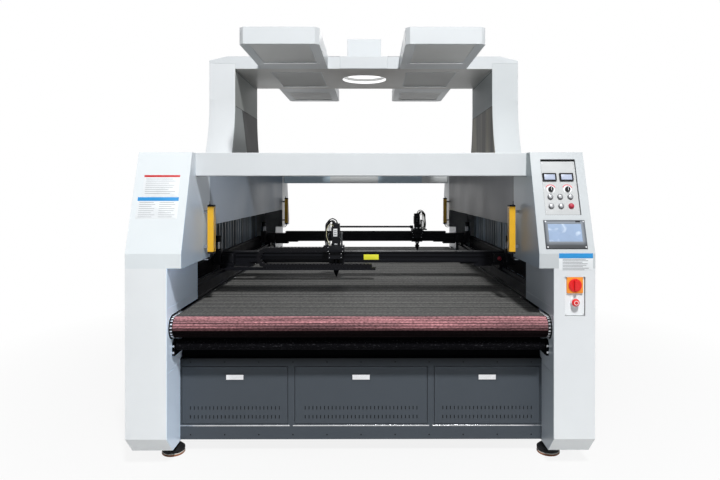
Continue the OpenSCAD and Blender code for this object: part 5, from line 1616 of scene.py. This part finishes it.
# %% Light curtain lenses and leads
curtain_low, curtain_high = span("light_curtains")
smoke = finish("smoke", (0.020, 0.006, 0.006), 0.12, cloud=(20.0, 0.05), grain=(400.0, 0.02), shine=0.4)
lead_plug = turned([(0.0, 0.0), (0.0045, 0.0), (0.0045, 0.006), (0.0018, 0.008), (0.0018, 0.022),
                    (0.0, 0.0225)], 12)
lens_shapes, plug_places = [], []
for y, sx in grid((curtain_low[1] + 0.022, curtain_high[1] - 0.022), BOTH):
    x0, x1 = sorted((sx * 0.8726, sx * 0.8746))
    lens_shapes.append(block((x0, y - 0.0070, 1.106), (x1, y + 0.0070, 1.355), 0.0006))
    plug_places.append((sx * 0.9000, y, 1.3735))
piece("curtain_lenses", joined(lens_shapes), smoke, "black_plastic")
piece("curtain_leads", repeated(lead_plug, plug_places), black_plastic, "black_plastic")
print("four light curtains")

# %% [markdown]
# ## Front bolts and rear fittings
#
# The guide roller's brackets end in bright bolts that face the operator. At
# the rear, a clamp holds each suction outlet's hose end, and quarter-turn
# locks close the three rear panels.

# %% Bolts at the front
bolt_places = both_sides([(1.001, -1.8798, z) for z in (0.627, 0.592)])
piece("bracket_bolts", repeated(hexagon(0.0115, 0.0045), bolt_places, FACING_FRONT),
      bright_steel, "cap_silver")
panel_screw = screw(0.0038, 0.0014)
cabinet_front = span("front_cabinet")[0][1]
frame_places = [(x, cabinet_front, z) for z, x in grid((0.503, 0.098), np.linspace(-0.95, 0.95, 11))]
piece("cabinet_screws", repeated(panel_screw, frame_places, FACING_FRONT), dark_roller, "black_anodised")
print("bolts and", len(frame_places), "cabinet screws")

# %% Rear outlets and locks
outlet_r, outlet_x, outlet_z, rear_wall = 0.075, 0.500, 0.230, 1.751
rear_edge = span("rear_cabinet")[1][1]


def outlet_ring(profile):
    """A ring round an outlet: the profile's radii are counted from the outlet's outside."""
    return ring_turned([(outlet_r + r, h) for r, h in profile], 64)


clamp_ring = outlet_ring([(0.0002, 0.0), (0.0022, 0.0), (0.0026, 0.0012), (0.0026, 0.0108), (0.0022, 0.012),
                          (0.0002, 0.012)])
rib = outlet_ring([(0.0001, 0.0), (0.0030, 0.0006), (0.0036, 0.003), (0.0030, 0.0054), (0.0001, 0.006)])
clamps, ribs = [], []
for x in (-outlet_x, outlet_x):
    clamps += [placed(clamp_ring, (x, rear_edge - 0.075, outlet_z), FACING_REAR),
               block((x - 0.014, rear_edge - 0.074, outlet_z + outlet_r + 0.001),
                     (x + 0.014, rear_edge - 0.064, outlet_z + outlet_r + 0.012))]
    rib_places = [(x, rear_edge - back, outlet_z) for back in (0.010, 0.026, 0.042)]
    ribs.append(repeated(rib, rib_places, FACING_REAR))
lock = turned([(0.0, 0.0), (0.0125, 0.0), (0.0125, 0.0018), (0.0112, 0.0030), (0.0045, 0.0030),
               (0.0045, 0.0016), (0.0, 0.0016)], 28)
lock_places = [(x + dx, rear_wall, 0.330) for x, dx in grid((-0.700, 0.0, 0.700), (-0.27, 0.27))]
rear_screws = [(x, rear_wall, z) for z, x in grid((0.505, 0.090), np.linspace(-0.97, 0.97, 9))]
for name, shape, look, slot_name in (
        ("outlet_clamps", joined(clamps), steel, "roller_steel"),
        ("outlet_ribs", joined(ribs), black_plastic, "black_plastic"),
        ("rear_locks", repeated(lock, lock_places, FACING_REAR), bright_steel, "cap_silver"),
        ("rear_screws", repeated(panel_screw, rear_screws, FACING_REAR), dark_roller, "black_anodised")):
    piece(name, shape, look, slot_name)
print("rear outlets and locks")
